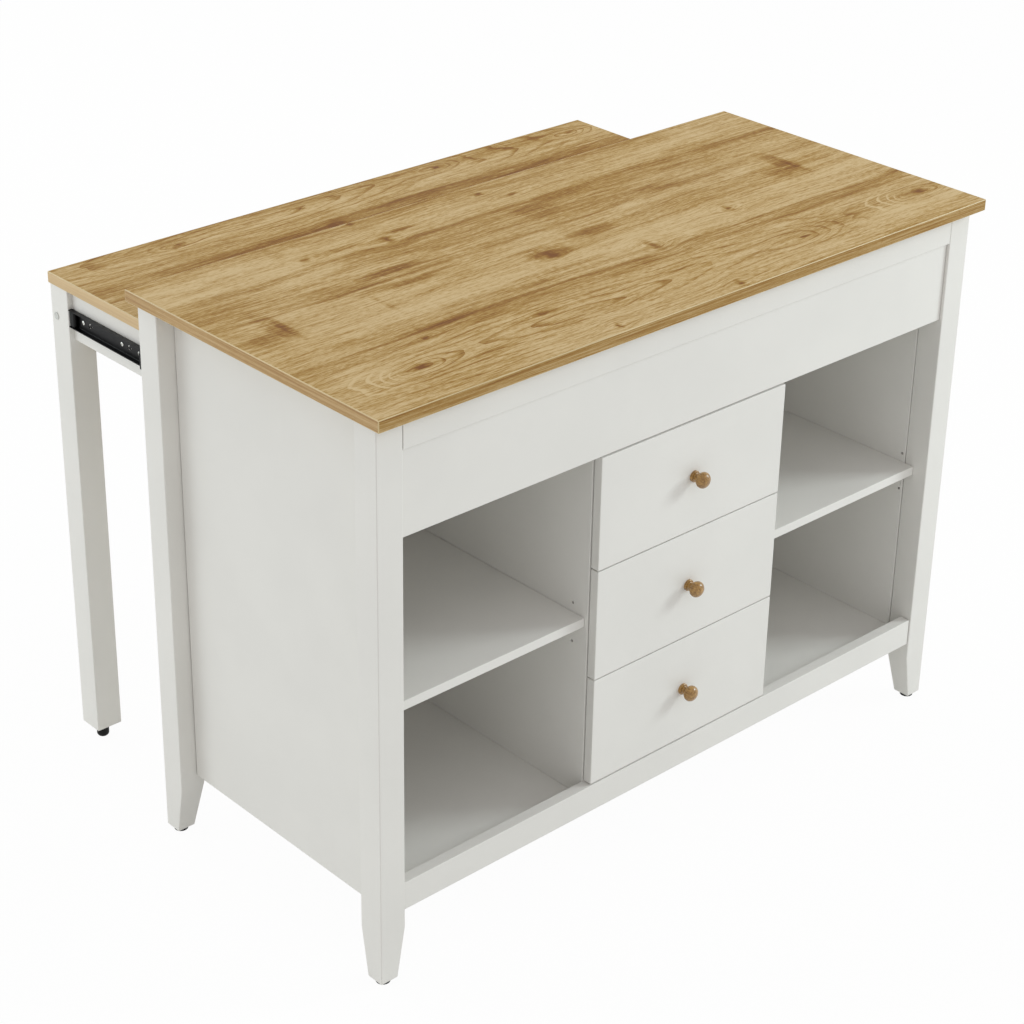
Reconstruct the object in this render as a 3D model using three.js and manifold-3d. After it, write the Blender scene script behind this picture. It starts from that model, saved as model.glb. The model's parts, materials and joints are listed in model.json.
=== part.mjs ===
// Kitchen island with a pull-out table leaf, in millimetres, +Z up.
//
// A painted cabinet stands on four posts that taper towards the floor. It holds two open bays with an
// adjustable shelf each, a bank of three drawers between them, and above both a compartment with a
// lower table leaf on two legs, which runs out at the back on telescopic ball-bearing slides.
//
// The model is laid out with x = 0 on the middle of the cabinet, y = 0 on the front faces of the front
// posts (y grows towards the back) and z = 0 on the floor. At the end the whole group is moved along y,
// so that the origin lies under the middle of the object's box.

import * as THREE from 'three';
import { mergeVertices } from 'three/addons/utils/BufferGeometryUtils.js';
import Module from 'manifold-3d';

const wasm = await Module();
wasm.setup();

// ---------------------------------------------------------------- driving dimensions

// Worktop and the frame of posts below it
const worktopHeight = 900;
const worktopWidth = 1210;
const worktopDepth = 552;
const worktopThickness = 18;
const worktopFrontOverhang = 19;
const worktopBackOverhang = 13;
const worktopSideOverhang = 11;
const postWidth = 44;
const postFootWidth = 30;
const postTaperLength = 81;
const glideHeight = 7;
const glideRadius = 9;

// Boards of the carcass
const panelThickness = 15;
const sidePanelBottom = 106;
const bayDividerOffset = 190;
const floorDrop = 28;
const deckThickness = 12;

// Rails and apron between the posts
const topRailThickness = 18;
const bottomRailBottom = 116;
const bottomRailHeight = 46;
const bottomRailSetback = 2;
const apronSetback = 5;

// Shelves, their pins and the rows of holes for them
const shelfSurface = 440;
const shelfSetback = 26;
const shelfClearance = 0.5;
const holePitch = 32;
const holesPerRow = 3;
const holeRadius = 2.5;
const holeDepth = 9;
const frontHoleSetback = 51;
const backHoleInset = 37;
const pinLength = 8;

// Drawers
const drawerCount = 3;
const drawerGap = 2;
const drawerRearGap = 2;
const drawerFrontSideGap = 1;
const drawerBoxThickness = 12;
const drawerBoxHeight = 120;
const drawerRearClearance = 43;
const drawerBoxRise = 14;
const drawerBottomThickness = 4;
const drawerBottomRise = 10;
const drawerGrooveDepth = 5;
const drawerGrooveClearance = 0.3;
const drawerBottomArris = 0.3;

// Roller slides of the drawers, measured from the divider and from the lower edge of the drawer side
const runnerSpace = 12.7;
const runnerMetal = 1.2;
const runnerLip = 8.5;
const runnerShortfall = 20;
const runnerRollerRadius = 9.8;
const runnerRollerInset = 14;
const runnerPlay = 0.3;
const runnerHeadGap = 1.8;

// Turned knobs
const knobFlangeRadius = 8;
const knobFlangeThickness = 4;
const knobFlangeEdge = 2.4;
const knobNeckRadius = 5;
const knobNeckLength = 4.5;
const knobNeckFlare = 1;
const knobCollarFlare = 0.4;
const knobHeadRadius = 11.5;
const knobHeadHalfDepth = 9.5;

// Pull-out leaf, and the room that its compartment leaves around it
const leafDrop = 80;
const leafThickness = 18;
const leafExtension = 295;
const leafSideClearance = 2;
const leafFrontClearance = 23;
const leafHeadroom = 15;
const leafFloorClearance = 3;
const leafLegWidth = 45;
const leafLegInset = 2;
const leafFootHeight = 26;
const leafFootRadius = 10;
const leafFootRound = 5;
const leafRailThickness = 16;
const leafRailHeight = 81;
const leafBackRailInset = 5;
const leafInnerRailInset = 9;
const boltCapRadius = 6;
const boltCapThickness = 1.4;
const boltCapEdge = 0.7;
const boltCapBevel = 1.2;
const boltCapDrop = 50;

// Telescopic slides of the leaf: heights are of the closed section, depths are across it
const slideHeight = 45;
const slideInnerHeight = 28;
const slideDepth = 12.7;
const slideMetal = 1.2;
const slideLength = 350;
const slideAxisDrop = 62;
const slidePlay = 0.3;
const slideWebGap = 0.8;
const slideOuterShortfall = 3;
const slideMiddleMouth = 2.6;
const slideTrackInset = 1.6;
const slideTrackWidth = 3;
const slideEndClearance = 0.5;
const slideMiddleShortfall = 40;
const slideHoleInset = 24.5;
const slideHoleStep = 49;
const slideHoleRadius = 2.2;
const slideSlotOffset = 10;
const slideSlotWidth = 3;
const slideSlotHeight = 6;

// Small edges
const boardArris = 0.8;
const postArris = 1.5;
const worktopArris = 1;
const glideArris = 1.5;

// How far a fused piece reaches into the one that carries it, and a drill past the face it starts from
const fuseDepth = 0.4;
const drillOverrun = 1;

// Flat faces around the round pieces
const turnedSides = 20;
const rollerSides = 16;
const holeSides = 10;

// ---------------------------------------------------------------- derived places

const worktopBottom = worktopHeight - worktopThickness;
const frameHalfWidth = worktopWidth / 2 - worktopSideOverhang;
const frameDepth = worktopDepth - worktopFrontOverhang - worktopBackOverhang;
const bayHalfWidth = frameHalfWidth - postWidth;
const backPlane = frameDepth - postWidth;
const carcassFront = apronSetback + panelThickness;
const backPanelFront = backPlane - panelThickness;
const dividerInner = bayDividerOffset - panelThickness;
const shelfBottom = shelfSurface - panelThickness;
const bottomRailTop = bottomRailBottom + bottomRailHeight;
const floorSurface = bottomRailTop - floorDrop;

const leafSurface = worktopHeight - leafDrop;
const leafWidth = 2 * (bayHalfWidth - leafSideClearance);
const leafClosedBack = worktopDepth - worktopFrontOverhang;
const leafDepth = leafClosedBack - carcassFront - leafFrontClearance;
const leafBack = leafClosedBack + leafExtension;
const leafFront = leafBack - leafDepth;
const leafBottom = leafSurface - leafThickness;
const leafLegOuter = leafWidth / 2 - leafLegInset;
const leafLegBack = leafBack - leafLegInset;
const leafLegFront = leafLegBack - leafLegWidth;
const leafRailOuter = bayHalfWidth - slideDepth;
const leafRailBottom = leafBottom - leafRailHeight;
const topRailBottom = leafSurface + leafHeadroom;
const deckTop = leafRailBottom - leafFloorClearance;
const deckBottom = deckTop - deckThickness;

const drawerFrontHalfWidth = bayDividerOffset - drawerFrontSideGap;
const drawerFrontBack = carcassFront - drawerRearGap;
const drawerFrontFace = drawerFrontBack - panelThickness;
const drawerBankBottom = bottomRailTop + drawerGap;
const drawerBankHeight = deckBottom - drawerGap - drawerBankBottom;
const drawerFrontHeight = (drawerBankHeight - (drawerCount - 1) * drawerGap) / drawerCount;
const drawerBoxHalfWidth = dividerInner - runnerSpace;
const drawerBoxBack = backPanelFront - drawerRearClearance;
const runnerLength = drawerBoxBack - drawerFrontBack - runnerShortfall;
const runnerHeight = 3 * runnerMetal + 2 * runnerRollerRadius + runnerHeadGap;

const slideAxisHeight = leafSurface - slideAxisDrop;
const slideClosedBack = leafLegFront - leafExtension;
const slideClosedFront = slideClosedBack - slideLength;

// ---------------------------------------------------------------- finishes

const finish = (color, roughness, metalness = 0) => (
  new THREE.MeshStandardMaterial({ color, roughness, metalness }));
const whitePaint = finish(0xdcddd8, 0.45);
const grainedLaminate = finish(0xc2a878, 0.5);
const turnedWood = finish(0xb08c55, 0.45);
const drawerBoard = finish(0xe4e4e0, 0.6);
const blackMetal = finish(0x17181a, 0.4, 0.8);
const blackPlastic = finish(0x111111, 0.55);

// ---------------------------------------------------------------- solids

// Merges the shared vertices of a closed shape, drops faces without area and turns all faces outwards.
function weld(geometry) {
  geometry.deleteAttribute('normal');
  geometry.deleteAttribute('uv');
  const merged = mergeVertices(geometry, 1e-4);
  const place = merged.attributes.position;
  const faces = [];
  let volume = 0;
  const [a, b, c] = [new THREE.Vector3(), new THREE.Vector3(), new THREE.Vector3()];
  for (let i = 0; i < merged.index.count; i += 3) {
    const [p, q, r] = [0, 1, 2].map((k) => merged.index.getX(i + k));
    if (p === q || q === r || r === p) continue;
    a.fromBufferAttribute(place, p);
    b.fromBufferAttribute(place, q);
    c.fromBufferAttribute(place, r);
    volume += a.dot(b.cross(c));
    faces.push([p, q, r]);
  }
  const outward = volume > 0 ? faces : faces.map(([p, q, r]) => [p, r, q]);
  merged.setIndex(outward.flat());
  return merged;
}

const toSolid = (geometry) => {
  const closed = weld(geometry);
  return new wasm.Manifold(new wasm.Mesh({
    numProp: 3,
    vertProperties: Float32Array.from(closed.attributes.position.array),
    triVerts: Uint32Array.from(closed.index.array),
  }));
};

function toGeometry(solid) {
  const mesh = solid.getMesh();
  const geometry = new THREE.BufferGeometry();
  geometry.setAttribute('position', new THREE.BufferAttribute(mesh.vertProperties, 3));
  geometry.setIndex(new THREE.BufferAttribute(mesh.triVerts, 1));
  return geometry;
}

const joined = (base, ...parts) => (
  toGeometry(parts.reduce((sum, part) => sum.add(toSolid(part)), toSolid(base))));
const cut = (base, ...tools) => (
  toGeometry(tools.reduce((rest, tool) => rest.subtract(toSolid(tool)), toSolid(base))));

// A rectangle with its corners cut off, counter-clockwise from above.
function cutRectangle([x0, x1], [y0, y1], corner) {
  return [
    [x0 + corner, y0], [x1 - corner, y0], [x1, y0 + corner], [x1, y1 - corner],
    [x1 - corner, y1], [x0 + corner, y1], [x0, y1 - corner], [x0, y0 + corner],
  ];
}

// A board between two corners, with a small flat arris on all its edges.
function board(xs, ys, [z0, z1], arris = boardArris) {
  const outline = new THREE.Shape(cutRectangle(xs, ys, arris).map(([x, y]) => new THREE.Vector2(x, y)));
  const geometry = new THREE.ExtrudeGeometry(outline, {
    depth: z1 - z0 - 2 * arris,
    bevelEnabled: true,
    bevelThickness: arris,
    bevelSize: arris,
    bevelOffset: -arris,
    bevelSegments: 1,
    steps: 1,
  });
  return geometry.translate(0, 0, z0 + arris);
}

// A plain block, used to cut grooves.
function block([x0, x1], [y0, y1], [z0, z1]) {
  const geometry = new THREE.BoxGeometry(x1 - x0, y1 - y0, z1 - z0);
  return geometry.translate((x0 + x1) / 2, (y0 + y1) / 2, (z0 + z1) / 2);
}

// A closed skin over rings of equal length, listed upwards, each counter-clockwise and convex.
function loft(rings) {
  const sides = rings[0].length;
  const faces = [];
  for (let level = 0; level + 1 < rings.length; level += 1) {
    for (let i = 0; i < sides; i += 1) {
      const [here, next] = [level * sides + i, level * sides + ((i + 1) % sides)];
      faces.push(here, next, next + sides, here, next + sides, here + sides);
    }
  }
  const top = (rings.length - 1) * sides;
  for (let i = 1; i + 1 < sides; i += 1) faces.push(0, i + 1, i, top, top + i, top + i + 1);
  const geometry = new THREE.BufferGeometry();
  geometry.setAttribute('position', new THREE.BufferAttribute(Float32Array.from(rings.flat(2)), 3));
  geometry.setIndex(faces);
  return geometry;
}

// An outline in x and z, drawn out along y.
function alongY(outline, y0, y1) {
  const shape = new THREE.Shape(outline.map(([x, z]) => new THREE.Vector2(x, z)));
  const geometry = new THREE.ExtrudeGeometry(shape, { depth: y1 - y0, bevelEnabled: false, steps: 1 });
  return geometry.rotateX(Math.PI / 2).translate(0, y1, 0);
}

// A round bar along x between two places.
function barAlongX(radius, xa, xb, y, z, sides) {
  const geometry = new THREE.CylinderGeometry(radius, radius, Math.abs(xb - xa), sides);
  return geometry.rotateZ(Math.PI / 2).translate((xa + xb) / 2, y, z);
}

// A turned piece: the profile gives [radius, distance along the axis], from one end to the other.
function turned(profile) {
  const points = profile.map(([radius, along]) => new THREE.Vector2(radius, along));
  return new THREE.LatheGeometry(points, turnedSides);
}

// ---------------------------------------------------------------- assembly helpers

const island = new THREE.Group();

function place(name, geometry, material) {
  const mesh = new THREE.Mesh(weld(geometry), material);
  mesh.name = name;
  island.add(mesh);
}

const sides = [['left', -1], ['right', 1]];
const mirrored = (side, near, far) => (side > 0 ? [near, far] : [-far, -near]);
const mirroredOutline = (side, wall, outline) => outline.map(([u, v]) => [side * (wall - u), v]);

// ---------------------------------------------------------------- cabinet: posts, glides, worktop

function buildWorktop() {
  const front = -worktopFrontOverhang;
  const across = [-worktopWidth / 2, worktopWidth / 2];
  const deep = [front, front + worktopDepth];
  place('worktop', board(across, deep, [worktopBottom, worktopHeight], worktopArris), grainedLaminate);
}

// One post: square above, with its two inner faces drawn in towards the floor.
function buildPost(row, name, side) {
  const isFront = row === 'front';
  const ring = (width, inset, z) => {
    const xs = mirrored(side, frameHalfWidth - width + inset, frameHalfWidth - inset);
    const ys = isFront ? [inset, width - inset] : [frameDepth - width + inset, frameDepth - inset];
    return cutRectangle(xs, ys, postArris).map(([x, y]) => [x, y, z]);
  };
  const taperTop = glideHeight + postTaperLength;
  const rings = [
    ring(postFootWidth, postArris, glideHeight),
    ring(postFootWidth, 0, glideHeight + postArris),
    ring(postWidth, 0, taperTop),
    ring(postWidth, 0, worktopBottom),
  ];
  place(`post_${row}_${name}`, loft(rings), whitePaint);
}

function buildGlide(row, name, side) {
  const centre = frameHalfWidth - postFootWidth / 2;
  const y = row === 'front' ? postFootWidth / 2 : frameDepth - postFootWidth / 2;
  const flatRadius = glideRadius - glideArris;
  const profile = [
    [0, 0], [flatRadius, 0], [glideRadius, glideArris],
    [glideRadius, glideHeight - glideArris], [flatRadius, glideHeight], [0, glideHeight],
  ];
  const geometry = turned(profile).rotateX(Math.PI / 2).translate(side * centre, y, 0);
  place(`glide_${row}_${name}`, geometry, blackPlastic);
}

// ---------------------------------------------------------------- cabinet: panels and rails

// Places of the shelf-pin holes in one panel: two rows of three, the middle one just below the shelf.
function holePlaces() {
  const middle = shelfBottom - holeRadius;
  const places = [];
  for (const y of [frontHoleSetback, backPanelFront - backHoleInset]) {
    for (let i = 0; i < holesPerRow; i += 1) {
      const step = i - (holesPerRow - 1) / 2;
      places.push({ y, z: middle + step * holePitch, holdsPin: step === 0 });
    }
  }
  return places;
}

// Drills the rows of holes into a panel's bay side and sets the shelf pins in the middle holes.
// face is the bay side of the panel, and towards is +1 when the bay lies on the +x side of it.
function drilled(panel, face, towards) {
  const holes = holePlaces().filter((hole) => !hole.holdsPin);
  const pins = holePlaces().filter((hole) => hole.holdsPin);
  const bar = (reach, { y, z }) => (
    barAlongX(holeRadius, face + towards * reach, face - towards * holeDepth, y, z, holeSides));
  const drills = holes.map((hole) => bar(drillOverrun, hole));
  const pegs = pins.map((hole) => bar(pinLength, hole));
  return joined(cut(panel, ...drills), ...pegs);
}

function buildSidePanel(name, side) {
  const xs = mirrored(side, bayHalfWidth, bayHalfWidth + panelThickness);
  const panel = board(xs, [postWidth, backPlane], [sidePanelBottom, worktopBottom]);
  place(`side_panel_${name}`, drilled(panel, side * bayHalfWidth, -side), whitePaint);
}

// Height of the lower edge of one drawer's front, counted from the bottom.
const drawerFrontBottom = (index) => drawerBankBottom + index * (drawerFrontHeight + drawerGap);

// Fixed member of a roller slide: a channel that opens towards the drawer, with a roller at its mouth.
function fixedRunner(side, index) {
  const base = drawerFrontBottom(index) + drawerBoxRise;
  const top = base + runnerHeight;
  const outline = [
    [-fuseDepth, base], [runnerLip, base], [runnerLip, base + runnerMetal], [runnerMetal, base + runnerMetal],
    [runnerMetal, top - runnerMetal], [runnerLip, top - runnerMetal], [runnerLip, top], [-fuseDepth, top],
  ];
  const front = carcassFront + runnerPlay;
  const axis = base + runnerMetal + runnerRollerRadius - runnerPlay;
  const channel = alongY(mirroredOutline(side, dividerInner, outline), front, front + runnerLength);
  const [rollerStart, rollerEnd] = [runnerMetal / 2, runnerLip];
  const roller = barAlongX(
    runnerRollerRadius, side * (dividerInner - rollerStart), side * (dividerInner - rollerEnd),
    front + runnerRollerInset, axis, rollerSides);
  return [channel, roller];
}

function buildDivider(name, side) {
  const xs = mirrored(side, dividerInner, bayDividerOffset);
  const panel = board(xs, [carcassFront, backPanelFront], [floorSurface, deckBottom]);
  const runners = [];
  for (let index = 0; index < drawerCount; index += 1) runners.push(...fixedRunner(side, index));
  const withHoles = drilled(panel, side * bayDividerOffset, side);
  place(`divider_${name}`, joined(withHoles, ...runners), whitePaint);
}

function buildCarcassBoards() {
  const inside = [-bayHalfWidth, bayHalfWidth];
  const behindFront = [carcassFront, backPanelFront];
  const floorRange = [floorSurface - panelThickness, floorSurface];
  place('floor_panel', board(inside, behindFront, floorRange), whitePaint);
  place('deck_panel', board(inside, behindFront, [deckBottom, deckTop]), whitePaint);
  place('back_panel', board(inside, [backPanelFront, backPlane], [sidePanelBottom, deckTop]), whitePaint);
  const bottomRail = [bottomRailBottom, bottomRailTop];
  place('rail_bottom_front', board(inside, [bottomRailSetback, carcassFront], bottomRail), whitePaint);
  const topRail = [topRailBottom, worktopBottom];
  place('rail_top_front', board(inside, [0, topRailThickness], topRail), whitePaint);
  place('rail_top_back', board(inside, [frameDepth - topRailThickness, frameDepth], topRail), whitePaint);
  place('apron_panel', board(inside, [apronSetback, carcassFront], [deckBottom, topRailBottom]), whitePaint);
}

function buildShelf(name, side) {
  const xs = mirrored(side, bayDividerOffset + shelfClearance, bayHalfWidth - shelfClearance);
  const ys = [shelfSetback, backPanelFront - shelfClearance];
  place(`shelf_${name}`, board(xs, ys, [shelfBottom, shelfSurface]), whitePaint);
}

// ---------------------------------------------------------------- drawers

const drawerNames = ['bottom', 'middle', 'top'];

function buildKnob(drawer, height) {
  const neckEnd = knobFlangeThickness + knobNeckLength;
  const headCentre = neckEnd + knobHeadHalfDepth;
  const profile = [
    [0, 0], [knobFlangeRadius, 0], [knobFlangeRadius, knobFlangeEdge],
    [knobNeckRadius + knobNeckFlare, knobFlangeThickness], [knobNeckRadius, neckEnd - knobNeckLength / 2],
  ];
  const steps = 9;
  const neckAngle = Math.asin((knobNeckRadius + knobCollarFlare) / knobHeadRadius);
  for (let i = 0; i <= steps; i += 1) {
    const angle = neckAngle + ((Math.PI - neckAngle) * i) / steps;
    profile.push([knobHeadRadius * Math.sin(angle), headCentre - knobHeadHalfDepth * Math.cos(angle)]);
  }
  profile[profile.length - 1][0] = 0;
  const geometry = turned(profile).rotateX(Math.PI).translate(0, drawerFrontFace, height);
  place(`drawer_${drawer}_knob`, geometry, turnedWood);
}

function buildDrawer(index) {
  const drawer = drawerNames[index];
  const bottom = drawerFrontBottom(index);
  const boxBottom = bottom + drawerBoxRise;
  const boxRange = [boxBottom, boxBottom + drawerBoxHeight];
  const innerHalf = drawerBoxHalfWidth - drawerBoxThickness;
  const grooveBottom = boxBottom + drawerBottomRise;
  const grooveRange = [grooveBottom, grooveBottom + drawerBottomThickness + 2 * drawerGrooveClearance];
  const grooveHalf = innerHalf + drawerGrooveDepth;
  const [grooveFront, grooveBack] = [
    drawerFrontBack - drawerGrooveDepth, drawerBoxBack - drawerBoxThickness + drawerGrooveDepth];
  const groove = block([-grooveHalf, grooveHalf], [grooveFront, grooveBack], grooveRange);

  const frontAcross = [-drawerFrontHalfWidth, drawerFrontHalfWidth];
  const frontDeep = [drawerFrontFace, drawerFrontBack];
  const frontBoard = board(frontAcross, frontDeep, [bottom, bottom + drawerFrontHeight]);
  place(`drawer_${drawer}_front`, cut(frontBoard, groove.clone()), whitePaint);

  for (const [name, side] of sides) {
    const xs = mirrored(side, innerHalf, drawerBoxHalfWidth);
    const plank = board(xs, [drawerFrontBack, drawerBoxBack], boxRange);
    const grooved = cut(plank, groove.clone());
    place(`drawer_${drawer}_side_${name}`, joined(grooved, ...movingRunner(side, boxBottom)), drawerBoard);
  }

  const backDeep = [drawerBoxBack - drawerBoxThickness, drawerBoxBack];
  const backBoard = board([-innerHalf, innerHalf], backDeep, boxRange);
  place(`drawer_${drawer}_back`, cut(backBoard, groove.clone()), drawerBoard);

  const slip = drawerGrooveClearance;
  const bottomBoard = board(
    [-grooveHalf + slip, grooveHalf - slip], [grooveFront + slip, grooveBack - slip],
    [grooveBottom + slip, grooveBottom + slip + drawerBottomThickness], drawerBottomArris);
  place(`drawer_${drawer}_bottom`, bottomBoard, drawerBoard);

  buildKnob(drawer, bottom + drawerFrontHeight / 2);
}

// Moving member of a roller slide: an angle on the drawer side, with a roller at its rear end.
function movingRunner(side, base) {
  const plateStart = runnerSpace - runnerMetal;
  const plateBottom = base + 2 * runnerMetal;
  const flangeTip = runnerMetal + runnerLip / 2;
  const flangeBottom = base + runnerMetal + 2 * runnerRollerRadius;
  const flangeTop = flangeBottom + runnerMetal;
  const anchored = runnerSpace + fuseDepth;
  const outline = [
    [anchored, plateBottom], [plateStart, plateBottom], [plateStart, flangeBottom],
    [flangeTip, flangeBottom], [flangeTip, flangeTop], [anchored, flangeTop],
  ];
  const front = drawerFrontBack + runnerPlay;
  const back = front + runnerLength;
  const angle = alongY(mirroredOutline(side, dividerInner, outline), front, back);
  const [rollerStart, rollerEnd] = [runnerMetal + runnerPlay, anchored];
  const roller = barAlongX(
    runnerRollerRadius, side * (dividerInner - rollerStart), side * (dividerInner - rollerEnd),
    back - runnerRollerInset, base + runnerMetal + runnerPlay + runnerRollerRadius, rollerSides);
  return [angle, roller];
}

// ---------------------------------------------------------------- pull-out leaf

function buildLeafLeg(name, side) {
  const xs = mirrored(side, leafLegOuter - leafLegWidth, leafLegOuter);
  const leg = board(xs, [leafLegFront, leafLegBack], [leafFootHeight, leafBottom], postArris);
  place(`leaf_leg_${name}`, leg, whitePaint);

  const profile = [[0, 0]];
  const roundSteps = 4;
  for (let i = 0; i <= roundSteps; i += 1) {
    const angle = (Math.PI / 2) * (i / roundSteps);
    const [inwards, upwards] = [1 - Math.sin(angle), 1 - Math.cos(angle)];
    profile.push([leafFootRadius - leafFootRound * inwards, leafFootRound * upwards]);
  }
  profile.push([leafFootRadius, leafFootHeight], [0, leafFootHeight]);
  const footX = side * (leafLegOuter - leafLegWidth / 2);
  const foot = turned(profile).rotateX(Math.PI / 2).translate(footX, leafLegBack - leafLegWidth / 2, 0);
  place(`leaf_foot_${name}`, foot, blackPlastic);

  const capProfile = [
    [0, 0], [boltCapRadius, 0], [boltCapRadius, boltCapEdge],
    [boltCapRadius - boltCapBevel, boltCapThickness], [0, boltCapThickness],
  ];
  const capY = leafLegBack - leafBackRailInset - leafRailThickness / 2;
  const cap = turned(capProfile).rotateZ((-side * Math.PI) / 2);
  cap.translate(side * leafLegOuter, capY, leafBottom - boltCapDrop);
  place(`leaf_bolt_cap_${name}`, cap, whitePaint);
}

function buildLeaf() {
  const across = [-leafWidth / 2, leafWidth / 2];
  const top = board(across, [leafFront, leafBack], [leafBottom, leafSurface], worktopArris);
  place('leaf_top', top, grainedLaminate);
  const railRange = [leafRailBottom, leafBottom];
  const betweenLegs = leafLegOuter - leafLegWidth;
  const backRailBack = leafLegBack - leafBackRailInset;
  const backRailDeep = [backRailBack - leafRailThickness, backRailBack];
  place('leaf_rail_back', board([-betweenLegs, betweenLegs], backRailDeep, railRange), whitePaint);
  const betweenRails = leafRailOuter - leafRailThickness;
  const innerRailFront = leafFront + leafInnerRailInset;
  const innerRailDeep = [innerRailFront, innerRailFront + leafRailThickness];
  place('leaf_rail_inner', board([-betweenRails, betweenRails], innerRailDeep, railRange), whitePaint);
  for (const [name, side] of sides) {
    const xs = mirrored(side, betweenRails, leafRailOuter);
    place(`leaf_rail_${name}`, board(xs, [innerRailFront, leafLegFront], railRange), whitePaint);
    buildLeafLeg(name, side);
  }
}

// ---------------------------------------------------------------- telescopic slides of the leaf

// Each member is a channel. Depth u runs from the side panel to the leaf's rail, v from the slide's axis.

// Outer member: an open channel against the side panel.
function outerMember() {
  const half = slideHeight / 2;
  const lip = slideDepth - slideOuterShortfall;
  return [
    [0, -half], [lip, -half], [lip, -half + slideMetal], [slideMetal, -half + slideMetal],
    [slideMetal, half - slideMetal], [lip, half - slideMetal], [lip, half], [0, half],
  ];
}

// Middle member: a channel between the two others, with a row of bearings on both sides of each flange.
function middleMember() {
  const bearingOuter = slideHeight / 2 - slideMetal - slidePlay;
  const bearingInner = slideInnerHeight / 2 + slidePlay;
  const flangeOuter = (bearingOuter + bearingInner + slideMetal) / 2;
  const flangeInner = flangeOuter - slideMetal;
  const web = slideMetal + slideWebGap;
  const webInner = web + slideMetal;
  const mouth = slideDepth - slideMiddleMouth;
  const trackStart = webInner + slideTrackInset;
  const trackEnd = trackStart + slideTrackWidth;
  const half = [
    [web, flangeOuter], [trackStart, flangeOuter], [trackStart, bearingOuter], [trackEnd, bearingOuter],
    [trackEnd, flangeOuter], [mouth, flangeOuter], [mouth, flangeInner], [trackEnd, flangeInner],
    [trackEnd, bearingInner], [trackStart, bearingInner], [trackStart, flangeInner],
    [webInner, flangeInner],
  ];
  return [...half, ...half.map(([u, v]) => [u, -v]).reverse()];
}

// Inner member: a channel on the leaf's rail, open towards the cabinet side.
function innerMember() {
  const half = slideInnerHeight / 2;
  const tip = 2 * (slideMetal + slideWebGap);
  return [
    [slideDepth, -half], [slideDepth, half], [tip, half], [tip, half - slideMetal],
    [slideDepth - slideMetal, half - slideMetal], [slideDepth - slideMetal, -half + slideMetal],
    [tip, -half + slideMetal], [tip, -half],
  ];
}

function buildSlides(name, side) {
  const lifted = (outline) => (
    mirroredOutline(side, bayHalfWidth, outline).map(([x, v]) => [x, slideAxisHeight + v]));
  const member = (outline, travel, shortfall = 0) => {
    const back = slideClosedBack - slideEndClearance - shortfall;
    return alongY(lifted(outline), slideClosedFront + travel, back + travel);
  };
  place(`slide_outer_${name}`, member(outerMember(), 0), blackMetal);
  place(`slide_middle_${name}`, member(middleMember(), leafExtension / 2, slideMiddleShortfall), blackMetal);

  // Round screw holes with a slot beside each, in pairs along the web of the inner member.
  const inner = member(innerMember(), leafExtension);
  const start = slideClosedFront + leafExtension;
  const middle = slideLength / 2;
  const holes = [slideHoleInset, middle, middle + slideHoleStep, slideLength - slideHoleInset];
  const [near, far] = [slideDepth - slideMetal - drillOverrun, slideDepth + drillOverrun];
  const through = mirrored(side, bayHalfWidth - far, bayHalfWidth - near);
  const slotZs = [slideAxisHeight - slideSlotHeight / 2, slideAxisHeight + slideSlotHeight / 2];
  const tools = holes.flatMap((along) => {
    const y = start + along;
    const slotMiddle = y - slideSlotOffset;
    const slotYs = [slotMiddle - slideSlotWidth / 2, slotMiddle + slideSlotWidth / 2];
    return [
      barAlongX(slideHoleRadius, ...through, y, slideAxisHeight, holeSides),
      block(through, slotYs, slotZs),
    ];
  });
  place(`slide_inner_${name}`, cut(inner, ...tools), blackMetal);
}

// ---------------------------------------------------------------- build

buildWorktop();
for (const [name, side] of sides) {
  for (const row of ['front', 'back']) {
    buildPost(row, name, side);
    buildGlide(row, name, side);
  }
  buildSidePanel(name, side);
  buildDivider(name, side);
  buildShelf(name, side);
  buildSlides(name, side);
}
buildCarcassBoards();
for (let index = 0; index < drawerCount; index += 1) buildDrawer(index);
buildLeaf();

const knobFront = drawerFrontFace - knobFlangeThickness - knobNeckLength - 2 * knobHeadHalfDepth;
island.position.y = -(Math.min(knobFront, -worktopFrontOverhang) + leafBack) / 2;

export default island;
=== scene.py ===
"""The finished looks of the kitchen island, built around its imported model.

All sizes are in metres, in the model's own frame: +Z up, +X along the width, -Y towards the
drawers.
Each sub-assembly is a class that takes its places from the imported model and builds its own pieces.
"""
import json
import logging
import math
from dataclasses import dataclass
from enum import Enum
from typing import Iterable, Optional, Sequence, Union

import bmesh
import bpy
from mathutils import Matrix, Vector

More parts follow.
